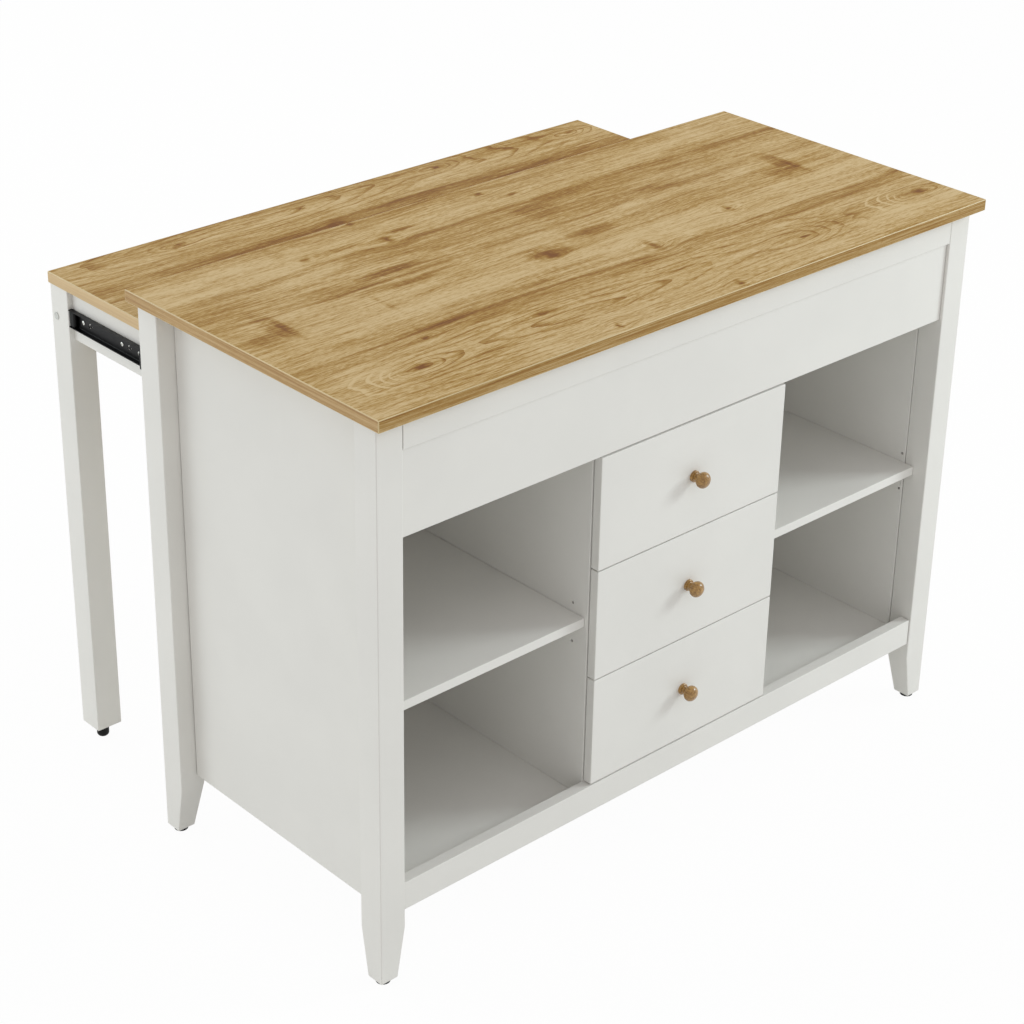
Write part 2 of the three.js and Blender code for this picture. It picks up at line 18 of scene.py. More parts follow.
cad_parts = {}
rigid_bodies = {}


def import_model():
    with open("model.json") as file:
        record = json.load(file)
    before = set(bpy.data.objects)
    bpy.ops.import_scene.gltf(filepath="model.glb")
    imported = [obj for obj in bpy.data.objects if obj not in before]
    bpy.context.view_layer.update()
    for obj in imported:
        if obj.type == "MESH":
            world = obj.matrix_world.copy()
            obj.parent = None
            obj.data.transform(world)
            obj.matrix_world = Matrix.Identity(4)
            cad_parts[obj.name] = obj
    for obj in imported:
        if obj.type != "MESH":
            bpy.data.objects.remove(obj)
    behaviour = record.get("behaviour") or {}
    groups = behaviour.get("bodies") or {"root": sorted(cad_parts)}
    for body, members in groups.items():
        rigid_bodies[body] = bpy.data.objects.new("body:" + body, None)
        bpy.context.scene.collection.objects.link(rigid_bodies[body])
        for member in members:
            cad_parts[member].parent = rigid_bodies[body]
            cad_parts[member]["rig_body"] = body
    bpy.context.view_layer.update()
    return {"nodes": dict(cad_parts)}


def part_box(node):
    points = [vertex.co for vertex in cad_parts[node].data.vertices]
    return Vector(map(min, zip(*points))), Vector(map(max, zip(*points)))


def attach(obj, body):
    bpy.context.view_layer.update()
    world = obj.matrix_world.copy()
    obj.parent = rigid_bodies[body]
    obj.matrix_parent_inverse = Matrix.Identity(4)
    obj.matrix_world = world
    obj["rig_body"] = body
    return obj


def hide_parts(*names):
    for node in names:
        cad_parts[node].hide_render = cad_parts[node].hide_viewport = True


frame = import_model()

LOG = logging.getLogger("kitchen_island")
SAME_POINT = 1e-6
SAME_CUT_POINT = 1e-7
SHARP_EDGE = 0.5
FLAT_FACE = 0.999

Point = tuple[float, float, float]
Flat = tuple[float, float]
Colour = tuple[float, float, float, float]
Material = bpy.types.Material
Socket = bpy.types.NodeSocket


def tone(code: str) -> Colour:
    """Turns a colour as a painter writes it into the linear values that a shader reads.

    Args:
        code: Six hexadecimal digits, such as "c2a878".

    Returns:
        Linear red, green and blue, and an alpha of 1.
    """
    parts = [int(code[i:i + 2], 16) / 255 for i in (0, 2, 4)]
    linear = [p / 12.92 if p <= 0.04045 else ((p + 0.055) / 1.055) ** 2.4 for p in parts]
    return (linear[0], linear[1], linear[2], 1.0)


def shaded(colour: Colour, factor: float, lift: float = 0.0) -> Colour:
    """Makes a colour lighter or darker by a factor, and lifts its darkest tones."""
    red, green, blue = (min(1.0, part * factor + lift) for part in colour[:3])
    return (red, green, blue, 1.0)


def put(name: str, data: bpy.types.ID) -> bpy.types.Object:
    """Puts a mesh, a lamp or a camera into the scene as an object.

    Args:
        name: The object's name.
        data: What it shows.

    Returns:
        The object.
    """
    made = bpy.data.objects.new(name, data)
    bpy.context.scene.collection.objects.link(made)
    return made


class Slot(Enum):
    """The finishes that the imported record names."""

    WHITE_PAINT = "white_paint"
    LAMINATE = "grained_laminate"
    TURNED_WOOD = "turned_wood"
    DRAWER_BOARD = "drawer_board"
    BLACK_METAL = "black_metal"
    BLACK_PLASTIC = "black_plastic"


class Side(Enum):
    """The two sides of the island, with the sign of x on each."""

    LEFT = -1
    RIGHT = 1

    @property
    def word(self) -> str:
        """The side's name in the names of pieces."""
        return self.name.lower()

    @property
    def outwards(self) -> "Facing":
        """The direction away from the middle plane."""
        return Facing.RIGHT if self is Side.RIGHT else Facing.LEFT

    @property
    def inwards(self) -> "Facing":
        """The direction towards the middle plane."""
        return Facing.LEFT if self is Side.RIGHT else Facing.RIGHT

    def span(self, near: float, far: float) -> Flat:
        """Orders two distances from the middle plane as a low and a high x on this side."""
        return (near, far) if self is Side.RIGHT else (-far, -near)

    def outer(self, node: str) -> float:
        """Gives the distance of a node's outer face from the middle plane."""
        low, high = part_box(node)
        return abs(high.x if self is Side.RIGHT else low.x)

    def inner(self, node: str) -> float:
        """Gives the distance of a node's inner face from the middle plane."""
        low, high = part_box(node)
        return abs(low.x if self is Side.RIGHT else high.x)


class Facing(Enum):
    """Where the axis of a turned piece points, as a turn of a piece that stands upright."""

    UP = Matrix.Identity(4)
    FRONT = Matrix.Rotation(math.pi / 2, 4, "X")
    LEFT = Matrix.Rotation(-math.pi / 2, 4, "Y")
    RIGHT = Matrix.Rotation(math.pi / 2, 4, "Y")


# ------------------------------------------------------------------------------------ finishes


class Graph:
    """The node tree of a material or the world, with a short call for each kind of node in use."""

    def __init__(self, owner: Union[Material, bpy.types.World], output: str) -> None:
        """Empties the owner's node tree and gives it an output.

        Args:
            owner: The material or the world.
            output: The type of its output node, without the common prefix.
        """
        owner.use_nodes = True
        self.owner = owner
        self.tree = owner.node_tree
        self.tree.nodes.clear()
        self.output = self.node(output)

    @classmethod
    def of_material(cls, name: str) -> "Graph":
        """Starts a new material."""
        return cls(bpy.data.materials.new(name), "OutputMaterial")

    def node(self, kind: str, inputs: Optional[dict] = None, **settings: object) -> bpy.types.Node:
        """Adds a node.

        Args:
            kind: The node's type, without its common prefix.
            inputs: Values or sockets for its inputs, by name or number.
            **settings: Values for its own settings.

        Returns:
            The new node.
        """
        made = self.tree.nodes.new(f"ShaderNode{kind}")
        for key, value in settings.items():
            setattr(made, key, value)
        for key, value in (inputs or {}).items():
            if isinstance(value, Socket):
                self.tree.links.new(value, made.inputs[key])
            else:
                made.inputs[key].default_value = value
        return made

    def place(self, output: str = "Object") -> Socket:
        """Gives the surface point, or its normal, in the piece's own coordinates."""
        return self.node("TexCoord").outputs[output]

    def parts(self, vector: Socket) -> Sequence[Socket]:
        """Splits a vector into its x, y and z."""
        return self.node("SeparateXYZ", {0: vector}).outputs

    def point(self, x: Socket, y: Socket) -> Socket:
        """Joins an x and a y into a point."""
        return self.node("CombineXYZ", {0: x, 1: y}).outputs[0]

    def noise(self, vector: Socket, scale: Point, detail: float = 2, roughness: float = 0.5,
              bend: float = 0, shift: Point = (0, 0, 0), output: str = "Fac") -> Socket:
        """Gives a smooth noise from 0 to 1.

        Args:
            vector: The place.
            scale: The swells to a metre along each axis.
            detail: How many finer noises are added.
            roughness: How strong each of these is beside the one before.
            bend: How far the noise bends itself.
            shift: Which part of the noise is used.
            output: "Fac" for one number, or "Color" for three.

        Returns:
            The noise.
        """
        spot = self.node("Mapping",
                         {"Vector": vector, "Scale": scale, "Location": shift}).outputs[0]
        inputs = {"Vector": spot, "Scale": 1.0, "Detail": detail, "Roughness": roughness,
                  "Distortion": bend}
        return self.node("TexNoise", inputs).outputs[output]

    def math(self, operation: str, *values: Union[float, Socket]) -> Socket:
        """Does one sum on up to three numbers."""
        return self.node("Math", dict(enumerate(values)), operation=operation).outputs[0]

    def vector(self, operation: str, *values: Union[Point, Socket],
               output: Union[int, str] = 0) -> Socket:
        """Does one sum on vectors, and gives the vector or number that the output names."""
        return self.node("VectorMath", dict(enumerate(values)), operation=operation).outputs[output]

    def band(self, value: Socket, low: float, high: float, start: float = 0,
             end: float = 1) -> Socket:
        """Rises smoothly from start, at a value of low, to end, at a value of high."""
        inputs = {"Value": value, "From Min": low, "From Max": high, "To Min": start, "To Max": end}
        return self.node("MapRange", inputs, interpolation_type="SMOOTHSTEP", clamp=True).outputs[0]

    def ramp(self, value: Socket, stops: Sequence[tuple[float, Colour]]) -> Socket:
        """Gives a colour that runs through a row of stops.

        Args:
            value: The number that picks the colour, from 0 to 1.
            stops: The place and the colour of each stop.

        Returns:
            The colour.
        """
        made = self.node("ValToRGB", {"Fac": value})
        elements = made.color_ramp.elements
        while len(elements) < len(stops):
            elements.new(0.5)
        for element, (place, colour) in zip(elements, stops):
            element.position = place
            element.color = colour
        return made.outputs["Color"]

    def mix(self, share: Socket, first: Union[Colour, Socket],
            second: Union[Colour, Socket]) -> Socket:
        """Mixes two colours by a share of the second."""
        return self.node("Mix", {0: share, 6: first, 7: second}, data_type="RGBA").outputs[2]

    def bump(self, height: Socket, depth: float) -> Socket:
        """Gives the normal of a surface that rises by depth as the height goes from 0 to 1."""
        return self.node("Bump", {"Height": height, "Distance": depth, "Strength": 1.0}).outputs[0]

    def finish(self, shader: Socket) -> Material:
        """Ends the tree in a shader, and gives the material or the world that it is for."""
        self.tree.links.new(shader, self.output.inputs[0])
        return self.owner

    def surface(self, inputs: dict) -> Material:
        """Ends the tree in the usual surface shader, and gives the finished material."""
        return self.finish(self.node("BsdfPrincipled", inputs).outputs[0])


@dataclass(frozen=True)
class SatinPaint:
    """Satin paint on smooth board: an even colour with a faint mottle and orange peel."""

    name: str
    colour: Colour
    roughness: float = 0.42
    mottle: float = 0.03
    mottle_scale: Point = (7, 7, 7)
    sheen_swing: float = 0.03
    peel_pitch: float = 0.0016
    peel_depth: float = 0.000012

    def material(self) -> Material:
        """Builds the finish.

        Returns:
            The finished material.
        """
        graph = Graph.of_material(self.name)
        place = graph.place()
        clouds = graph.noise(place, self.mottle_scale, detail=3)
        shade = graph.band(clouds, 0.3, 0.7)
        colour = graph.mix(shade, shaded(self.colour, 1 - self.mottle), self.colour)
        peel = graph.noise(place, (1 / self.peel_pitch,) * 3, detail=1)
        sheen = graph.band(clouds, 0.2, 0.8, self.roughness - self.sheen_swing,
                           self.roughness + self.sheen_swing)
        return graph.surface({"Base Color": colour, "Roughness": sheen,
                              "Normal": graph.bump(peel, self.peel_depth)})


class Mark(Enum):
    """The kinds of marks in the laminate's print."""

    KNOT = "dark heart"
    PATCH = "brown cloud with a ripple across the grain"
    PALE = "pale growth lines"
    SWELL = "growth lines pushed aside"


@dataclass(frozen=True)
class Figure:
    """One mark in the print, fading out over its length along and its width across the grain."""

    kind: Mark
    x: float
    y: float
    length: float
    width: float
    strength: float = 1.0


@dataclass(frozen=True)
class Print:
    """The picture on a laminated board.

    rows gives how brown the board is at each y, from 0 to 1. rings is the place that the growth
    rings close round. The marks repeat along the board each time the print does.
    """

    rows: tuple[Flat, ...]
    rings: Flat
    figures: tuple[Figure, ...]
    start: float = -0.655
    length: float = 1.012
    seed: float = 0.0


@dataclass(frozen=True)
class Layer:
    """A layer of long swells in the grain.

    along and across are the swells to a metre, and spot is which part of the noise it uses. share
    is how much brown it adds at its strongest.
    """

    along: float
    across: float
    detail: float
    spot: float
    bend: float = 0.0
    share: float = 0.0


@dataclass(frozen=True)
class GrainedLaminate:
    """Wood-grain laminate: rows of brown, long streaks, growth rings, knots and fine pores.

    Every layer adds to one number, how brown the point is, and a ramp turns it into the colour.
    top is the height of the board's upper face.
    """

    name: str
    top: float
    art: Print
    browns: tuple[tuple[float, str], ...] = (
        (0.0, "ceb484"), (0.2, "be9f68"), (0.4, "a98644"), (0.64, "936821"), (1.0, "794811"))
    full_brown: float = 1.6
    end_tint: Colour = tone("bd9b74")
    end_share: float = 0.5
    front_tint: Colour = tone("997546")
    front_share: float = 0.36
    edge_stretch: float = 3.5
    edge_contrast: float = 1.1
    drift_scale: Point = (2.6, 4.5, 1)
    drift: float = 0.026
    tear_scale: Point = (75, 150, 1)
    tear: Flat = (0.012, 0.011)
    broad: Layer = Layer(1.4, 13, 3, 11.0, 0.4, 0.28)
    patchy: Layer = Layer(3.5, 8, 2, 67.0, 0.0, 0.16)
    streaks: Layer = Layer(4.5, 95, 4, 29.0, 0.3, 0.52)
    lines: tuple[Layer, ...] = (Layer(3.2, 42, 4, 23.0, 0.3, 0.34),
                                Layer(16, 270, 4, 37.0, 0.2, 0.92),
                                Layer(90, 800, 3, 43.0, 0.0, 1.0))
    ripple: Layer = Layer(170, 26, 2, 71.0, 0.5)
    pores: Layer = Layer(30, 1100, 1, 51.0, 0.0, 0.32)
    pore_depth: float = -0.00003
    row_swing: Flat = (0.7, 1.27)
    cloud_texture: Point = (0.95, 0.9, 0.7)
    chatter: float = 0.22
    knot_push: float = 0.8
    knot_reach: tuple[Flat, Flat] = ((3.4, 0.01), (1.5, 0.006))
    ring_pitch: float = 0.0118
    ring_slope: float = 0.155
    ring_reach: float = 0.05
    ring_line: Flat = (0.62, 0.97)
    ring_wobble: float = 1.6
    ring_wobble_scale: Point = (7, 26, 1)
    ring_strength: Flat = (0.46, 0.25)
    roughness: float = 0.5
    sheen_swing: Flat = (0.04, 0.05)
    shine: float = 0.22

    def edges(self, graph: Graph) -> tuple[Socket, Socket]:
        """Tells the board's end edges and its long edges from its faces.

        Args:
            graph: The material's nodes.

        Returns:
            1 on the end edges or 0, and 1 on the long edges or 0.
        """
        normal = graph.parts(graph.place("Normal"))
        sides = [graph.math("GREATER_THAN", graph.math("ABSOLUTE", normal[i]), 0.7) for i in (0, 1)]
        return sides[0], sides[1]

    def along_and_across(self, graph: Graph, on_end: Socket) -> tuple[Socket, Socket]:
        """Lays the grain along x on the faces and front edges, and along y on the end edges.

        Args:
            graph: The material's nodes.
            on_end: 1 on the end edges, or else 0.

        Returns:
            The place along the grain, and the place across it, with the depth below the upper
            face spread out, so that a narrow edge shows several lines, and with a slow sway.
        """
        x, y, z = graph.parts(graph.place())
        spread = graph.math("MULTIPLY", graph.math("SUBTRACT", z, self.top), self.edge_stretch)
        along = graph.math("MULTIPLY_ADD", graph.math("SUBTRACT", y, x), on_end, x)
        across = graph.math("SUBTRACT", graph.math("ADD", x, y), along)
        across = graph.math("ADD", across, spread)
        sway = graph.noise(graph.point(along, across), self.drift_scale,
                           shift=(self.art.seed, 0, 0))
        sway = graph.math("SUBTRACT", sway, 0.5)
        return along, graph.math("MULTIPLY_ADD", sway, self.drift, across)

    def swell(self, graph: Graph, grain: Socket, layer: Layer) -> Socket:
        """Gives the noise of a layer.

        Args:
            graph: The material's nodes.
            grain: The place along and across the grain.
            layer: The layer.

        Returns:
            The noise, from -1 to 1.
        """
        noise = graph.noise(grain, (layer.along, layer.across, 1), layer.detail, 0.55, layer.bend,
                            (self.art.seed, layer.spot, layer.spot))
        return graph.math("MULTIPLY_ADD", noise, 2.0, -1.0)

    def near(self, graph: Graph, offset: Socket, reach: Flat, crisp: bool = False) -> Socket:
        """Falls from 1 at a mark's middle to 0 far from it.

        Args:
            graph: The material's nodes.
            offset: The place, from the mark's middle.
            reach: How far the mark reaches along and across the grain.
            crisp: Whether it stays near 1 inside its reach and falls off more sharply.

        Returns:
            How near the place is.
        """
        scaled = graph.vector("MULTIPLY", offset, (1 / reach[0], 1 / reach[1], 0))
        distance = graph.vector("DOT_PRODUCT", scaled, scaled, output="Value")
        if crisp:
            distance = graph.math("MULTIPLY", distance, distance)
        return graph.math("POWER", 1 / math.e, distance)

    def marks(self, graph: Graph, point: Socket, kind: Mark) -> Union[float, Socket]:
        """Adds up the marks of one kind.

        Args:
            graph: The material's nodes.
            point: The place in the print.
            kind: Which marks to add.

        Returns:
            The sum, which is 0 far from every mark.
        """
        total: Union[float, Socket] = 0.0
        for figure in (f for f in self.art.figures if f.kind is kind):
            offset = graph.vector("SUBTRACT", point, (figure.x, figure.y, 0))
            near = self.near(graph, offset, (figure.length, figure.width), kind is Mark.PATCH)
            total = graph.math("MULTIPLY_ADD", near, figure.strength, total)
        return total

    def push(self, graph: Graph, point: Socket) -> Union[float, Socket]:
        """Pushes the grain aside round each knot.

        Args:
            graph: The material's nodes.
            point: The place in the print.

        Returns:
            How far the grain at this place has been moved across itself.
        """
        (length_share, length_more), (width_share, width_more) = self.knot_reach
        total: Union[float, Socket] = 0.0
        for figure in (f for f in self.art.figures if f.kind is Mark.KNOT):
            offset = graph.vector("SUBTRACT", point, (figure.x, figure.y, 0))
            reach = (length_share * figure.length + length_more,
                     width_share * figure.width + width_more)
            aside = graph.math("MULTIPLY", graph.parts(offset)[1], self.knot_push)
            total = graph.math("MULTIPLY_ADD", self.near(graph, offset, reach), aside, total)
        return total

    def rings(self, graph: Graph, along: Socket, across: Socket) -> Socket:
        """Draws the growth rings as a saw cuts them: straight lines that close over a low ridge.

        Args:
            graph: The material's nodes.
            along: The place along the grain, in the print.
            across: The place across the grain.

        Returns:
            1 on the late wood of each ring, falling to 0 between.
        """
        ring_x, ring_y = self.art.rings
        point = graph.point(along, across)
        far = graph.math("ABSOLUTE", graph.math("SUBTRACT", along, ring_x))
        depth = graph.math("MULTIPLY_ADD", far, self.ring_slope,
                           self.marks(graph, point, Mark.SWELL))
        aside = graph.math("SUBTRACT", across, ring_y)
        square = graph.math("MULTIPLY_ADD", aside, aside, graph.math("MULTIPLY", depth, depth))
        wobble = graph.noise(point, self.ring_wobble_scale, shift=(self.art.seed, 2, 0))
        count = graph.math("DIVIDE", graph.math("SQRT", square), self.ring_pitch)
        saw = graph.math("FRACT", graph.math("MULTIPLY_ADD", wobble, self.ring_wobble, count))
        return graph.band(saw, *self.ring_line)

    def rows(self, graph: Graph, across: Socket) -> Socket:
        """Reads the board's rows of brown.

        Args:
            graph: The material's nodes.
            across: The place across the grain.

        Returns:
            How brown the row is there, from 0 to 1.
        """
        low, high = self.art.rows[0][0], self.art.rows[-1][0]
        place = graph.node("MapRange",
                           {"Value": across, "From Min": low, "From Max": high}).outputs[0]
        stops = [((y - low) / (high - low), (brown, brown, brown, 1.0))
                 for y, brown in self.art.rows]
        return graph.ramp(place, stops)

    def torn(self, graph: Graph, point: Socket) -> Socket:
        """Moves a place about a little, so that the marks get ragged rims.

        Args:
            graph: The material's nodes.
            point: The place in the print.

        Returns:
            The moved place.
        """
        noise = graph.noise(point, self.tear_scale, output="Color")
        back = (-self.tear[0] / 2, -self.tear[1] / 2, 0)
        return graph.vector("ADD", point,
                            graph.vector("MULTIPLY_ADD", noise, (*self.tear, 0), back))

    def material(self) -> Material:
        """Builds the finish.

        Returns:
            The finished material.
        """
        graph = Graph.of_material(self.name)
        on_end, on_front = self.edges(graph)
        along, across = self.along_and_across(graph, on_end)
        print_x = graph.math("WRAP", along, self.art.start + self.art.length, self.art.start)
        point = graph.point(print_x, across)
        torn = self.torn(graph, point)
        grain = graph.point(along, graph.math("SUBTRACT", across, self.push(graph, point)))
        broad, patchy, streaks, ripple = (self.swell(graph, grain, layer) for layer in (
            self.broad, self.patchy, self.streaks, self.ripple))

        brown = graph.math("MULTIPLY", self.rows(graph, across),
                           graph.band(broad, -0.5, 0.5, *self.row_swing))
        swells = [(broad, self.broad), (patchy, self.patchy), (streaks, self.streaks)]
        swells += [(self.swell(graph, grain, layer), layer) for layer in self.lines]
        for swell, layer in swells:
            brown = graph.math("MULTIPLY_ADD", swell, layer.share, brown)
        edge_lines = graph.math("MULTIPLY", graph.math("ADD", on_end, on_front), streaks)
        brown = graph.math("MULTIPLY_ADD", edge_lines, self.edge_contrast, brown)

        beside, elsewhere = self.ring_strength
        aside = graph.math("DIVIDE", graph.math("SUBTRACT", across, self.art.rings[1]),
                           self.ring_reach)
        close = graph.math("POWER", 1 / math.e, graph.math("MULTIPLY", aside, aside))
        shown = graph.math("MULTIPLY_ADD", close, beside,
                           graph.band(patchy, -0.2, 0.4, 0.0, elsewhere))
        shown = graph.math("MULTIPLY_ADD", self.marks(graph, torn, Mark.PALE), -1.0, shown)
        brown = graph.math("MULTIPLY_ADD", self.rings(graph, print_x, across), shown, brown)

        plain, streaked, rippled = self.cloud_texture
        texture = graph.math("MULTIPLY_ADD", ripple, rippled, plain)
        texture = graph.math("MULTIPLY_ADD", streaks, streaked, texture)
        cloud = graph.math("MULTIPLY", self.marks(graph, torn, Mark.PATCH), texture)
        chatter = graph.math("MULTIPLY", graph.band(ripple, 0.05, 0.5),
                             graph.band(patchy, 0.05, 0.5, 0, self.chatter))
        for more in (cloud, chatter, self.marks(graph, torn, Mark.KNOT)):
            brown = graph.math("ADD", brown, more)
        pores = graph.band(self.swell(graph, grain, self.pores), 0.2, 0.45)
        brown = graph.math("MULTIPLY_ADD", pores, self.pores.share, brown)

        stops = [(place, tone(code)) for place, code in self.browns]
        wood = graph.ramp(graph.math("DIVIDE", brown, self.full_brown), stops)
        for edge, share, tint in ((on_end, self.end_share, self.end_tint),
                                  (on_front, self.front_share, self.front_tint)):
            wood = graph.mix(graph.math("MULTIPLY", edge, share), wood, tint)
        sheen = graph.band(patchy, -0.4, 0.4, self.roughness - self.sheen_swing[0],
                           self.roughness + self.sheen_swing[1])
        return graph.surface({"Base Color": wood, "Roughness": sheen,
                              "Specular IOR Level": self.shine,
                              "Normal": graph.bump(pores, self.pore_depth)})


@dataclass(frozen=True)
class TurnedWood:
    """Lacquered golden-brown wood with its grain along the axis of the turning, which is y."""

    name: str
    light: Colour = tone("bf9450")
    dark: Colour = tone("734e1b")
    streak_scale: Point = (420, 60, 420)
    fine_scale: Point = (2400, 260, 2400)
    fine_share: float = 0.25
    fine_depth: float = 0.00002
    roughness: Flat = (0.42, 0.3)
    coat: Flat = (0.4, 0.14)

    def material(self) -> Material:
        """Builds the finish.

        Returns:
            The finished material.
        """
        graph = Graph.of_material(self.name)
        place = graph.place()
        streaks = graph.noise(place, self.streak_scale, 4, 0.6, 0.8)
        fine = graph.noise(place, self.fine_scale)
        wood = graph.ramp(streaks, [(0.32, self.dark), (0.68, self.light)])
        wood = graph.mix(graph.band(fine, 0.5, 0.7, 0, self.fine_share), wood, self.dark)
        sheen = graph.band(streaks, 0, 1, *self.roughness)
        return graph.surface({"Base Color": wood, "Roughness": sheen, "Coat Weight": self.coat[0],
                              "Coat Roughness": self.coat[1],
                              "Normal": graph.bump(fine, self.fine_depth)})


@dataclass(frozen=True)
class Metal:
    """Rolled or plated steel: fine lines along y, and patches of more and less shine."""

    name: str
    colour: Colour
    metallic: float = 1.0
    roughness: float = 0.32
    line_scale: Point = (2600, 35, 2600)
    line_depth: float = 0.000006
    patch_scale: Point = (55, 55, 55)
    worn: Flat = (1.5, 0.004)
    sheen_swing: Flat = (0.06, 0.08)

    def material(self) -> Material:
        """Builds the finish.

        Returns:
            The finished material.
        """
        graph = Graph.of_material(self.name)
        place = graph.place()
        rolled = graph.noise(place, self.line_scale)
        patches = graph.noise(place, self.patch_scale, 3)
        worn = shaded(self.colour, *self.worn)
        colour = graph.mix(graph.band(patches, 0.35, 0.75), self.colour, worn)
        sheen = graph.band(patches, 0.3, 0.7, self.roughness - self.sheen_swing[0],
                           self.roughness + self.sheen_swing[1])
        return graph.surface({"Base Color": colour, "Metallic": self.metallic, "Roughness": sheen,
                              "Normal": graph.bump(rolled, self.line_depth)})


@dataclass(frozen=True)
class MouldedPlastic:
    """Moulded plastic with a fine spark-eroded texture."""

    name: str
    colour: Colour
    roughness: float = 0.5
    shine: float = 0.5
    texture_scale: Point = (3200, 3200, 3200)
    texture_depth: float = 0.00002
    patch_scale: Point = (90, 90, 90)
    paler: Flat = (1.3, 0.003)
    sheen_swing: float = 0.05

    def material(self) -> Material:
        """Builds the finish.

        Returns:
            The finished material.
        """
        graph = Graph.of_material(self.name)
        place = graph.place()
        texture = graph.noise(place, self.texture_scale)
        patches = graph.noise(place, self.patch_scale)
        paler = shaded(self.colour, *self.paler)
        colour = graph.mix(graph.band(patches, 0.3, 0.8), self.colour, paler)
        sheen = graph.band(patches, 0.3, 0.7, self.roughness - self.sheen_swing,
                           self.roughness + self.sheen_swing)
        return graph.surface({"Base Color": colour, "Roughness": sheen,
                              "Specular IOR Level": self.shine,
                              "Normal": graph.bump(texture, self.texture_depth)})


def knots(*places: tuple[float, float, float, float]) -> tuple[Figure, ...]:
    """Makes dark knots from places and reaches along and across the grain."""
    return tuple(Figure(Mark.KNOT, *place) for place in places)


def patches(*places: tuple[float, float, float, float, float]) -> tuple[Figure, ...]:
    """Makes brown clouds from places, reaches along and across the grain, and strengths."""
    return tuple(Figure(Mark.PATCH, *place) for place in places)


WORKTOP_PRINT = Print(
    rows=(
        (-0.420, 0.55), (-0.412, 0.20), (-0.360, 0.26), (-0.331, 0.40), (-0.292, 0.24),
        (-0.276, 0.28), (-0.270, 0.62), (-0.255, 0.48), (-0.2445, 0.92), (-0.240, 0.38),
        (-0.200, 0.26), (-0.171, 0.22), (-0.165, 0.38), (-0.110, 0.40), (-0.079, 0.46),
        (-0.0745, 0.98), (-0.0705, 0.50), (-0.020, 0.46), (0.020, 0.54), (0.028, 0.74),
        (0.033, 0.26), (0.095, 0.26), (0.102, 0.42), (0.121, 0.42), (0.125, 0.70), (0.131, 0.45)
    ),
    rings=(-0.170, -0.331),
    figures=knots(
        (0.020, 0.096, 0.008, 0.007), (-0.207, 0.043, 0.007, 0.013), (-0.210, 0.126, 0.005, 0.005),
        (-0.169, -0.399, 0.004, 0.008), (0.075, -0.221, 0.007, 0.018),
        (-0.458, -0.330, 0.011, 0.008), (-0.396, -0.265, 0.006, 0.004),
        (0.270, -0.191, 0.006, 0.010), (0.271, -0.343, 0.013, 0.005),
        (-0.065, -0.159, 0.008, 0.011), (0.068, -0.404, 0.006, 0.010),
        (-0.348, 0.056, 0.010, 0.006), (0.060, 0.064, 0.010, 0.004), (-0.219, -0.306, 0.016, 0.005)
    ) + patches(
        (-0.527, -0.104, 0.015, 0.050, 0.45), (-0.556, -0.137, 0.030, 0.022, 0.40),
        (-0.517, -0.118, 0.007, 0.050, 0.45), (-0.065, -0.149, 0.042, 0.024, 0.60),
        (0.040, -0.009, 0.036, 0.026, 0.45), (0.045, -0.121, 0.050, 0.015, 0.50),
        (-0.275, -0.049, 0.050, 0.012, 0.55), (-0.475, 0.016, 0.110, 0.010, 0.40),
        (-0.355, -0.240, 0.090, 0.012, 0.40), (-0.120, -0.214, 0.130, 0.018, 0.40),
        (-0.280, -0.100, 0.050, 0.012, 0.50), (-0.295, 0.056, 0.050, 0.007, 0.45),
        (-0.165, 0.063, 0.026, 0.007, 0.55), (0.245, -0.060, 0.055, 0.012, 0.45),
        (0.110, 0.010, 0.060, 0.012, 0.30), (-0.370, 0.100, 0.012, 0.030, 0.18),
        (-0.362, -0.140, 0.006, 0.040, 0.22), (-0.395, -0.070, 0.060, 0.008, 0.35)
    ) + (
        Figure(Mark.PALE, -0.542, -0.331, 0.050, 0.034, 1.60),
        Figure(Mark.PALE, 0.100, -0.331, 0.080, 0.026, 0.40),
        Figure(Mark.SWELL, -0.470, -0.331, 0.058, 0.036, -0.048),
        Figure(Mark.SWELL, 0.272, -0.343, 0.080, 0.040, -0.030),
        Figure(Mark.SWELL, 0.075, -0.225, 0.014, 0.030, 0.008)
    ),
    seed=4.0,
)
LEAF_PRINT = Print(
    rows=(
        (-0.064, 0.50), (0.000, 0.70), (0.040, 0.35), (0.115, 0.30), (0.120, 0.90), (0.170, 0.65),
        (0.176, 0.35), (0.278, 0.35), (0.284, 0.95), (0.305, 0.72), (0.320, 0.90), (0.326, 0.45),
        (0.372, 0.42), (0.380, 0.28), (0.394, 0.48), (0.415, 0.38), (0.426, 0.60)
    ),
    rings=(-0.190, 0.394),
    figures=knots(
        (0.194, 0.397, 0.008, 0.005), (-0.338, 0.388, 0.012, 0.006), (0.488, 0.389, 0.012, 0.005),
        (-0.096, 0.393, 0.006, 0.003), (-0.104, 0.300, 0.006, 0.010), (0.260, 0.060, 0.010, 0.007)
    ) + patches(
        (-0.500, 0.262, 0.060, 0.014, 0.60), (-0.250, 0.303, 0.160, 0.010, 0.35),
        (0.300, 0.300, 0.150, 0.009, 0.35), (-0.090, 0.303, 0.012, 0.020, 0.40),
        (0.100, 0.140, 0.050, 0.024, 0.50), (-0.420, 0.030, 0.040, 0.026, 0.50)
    ) + (
        Figure(Mark.PALE, -0.420, 0.392, 0.050, 0.022, 0.45),
        Figure(Mark.SWELL, -0.338, 0.388, 0.040, 0.016, -0.022),
        Figure(Mark.SWELL, 0.194, 0.397, 0.050, 0.020, -0.024),
        Figure(Mark.SWELL, 0.488, 0.389, 0.040, 0.018, -0.030)
    ),
    start=-0.560, length=1.112, seed=31.0,
)


# ------------------------------------------------------------------------------------ shapes


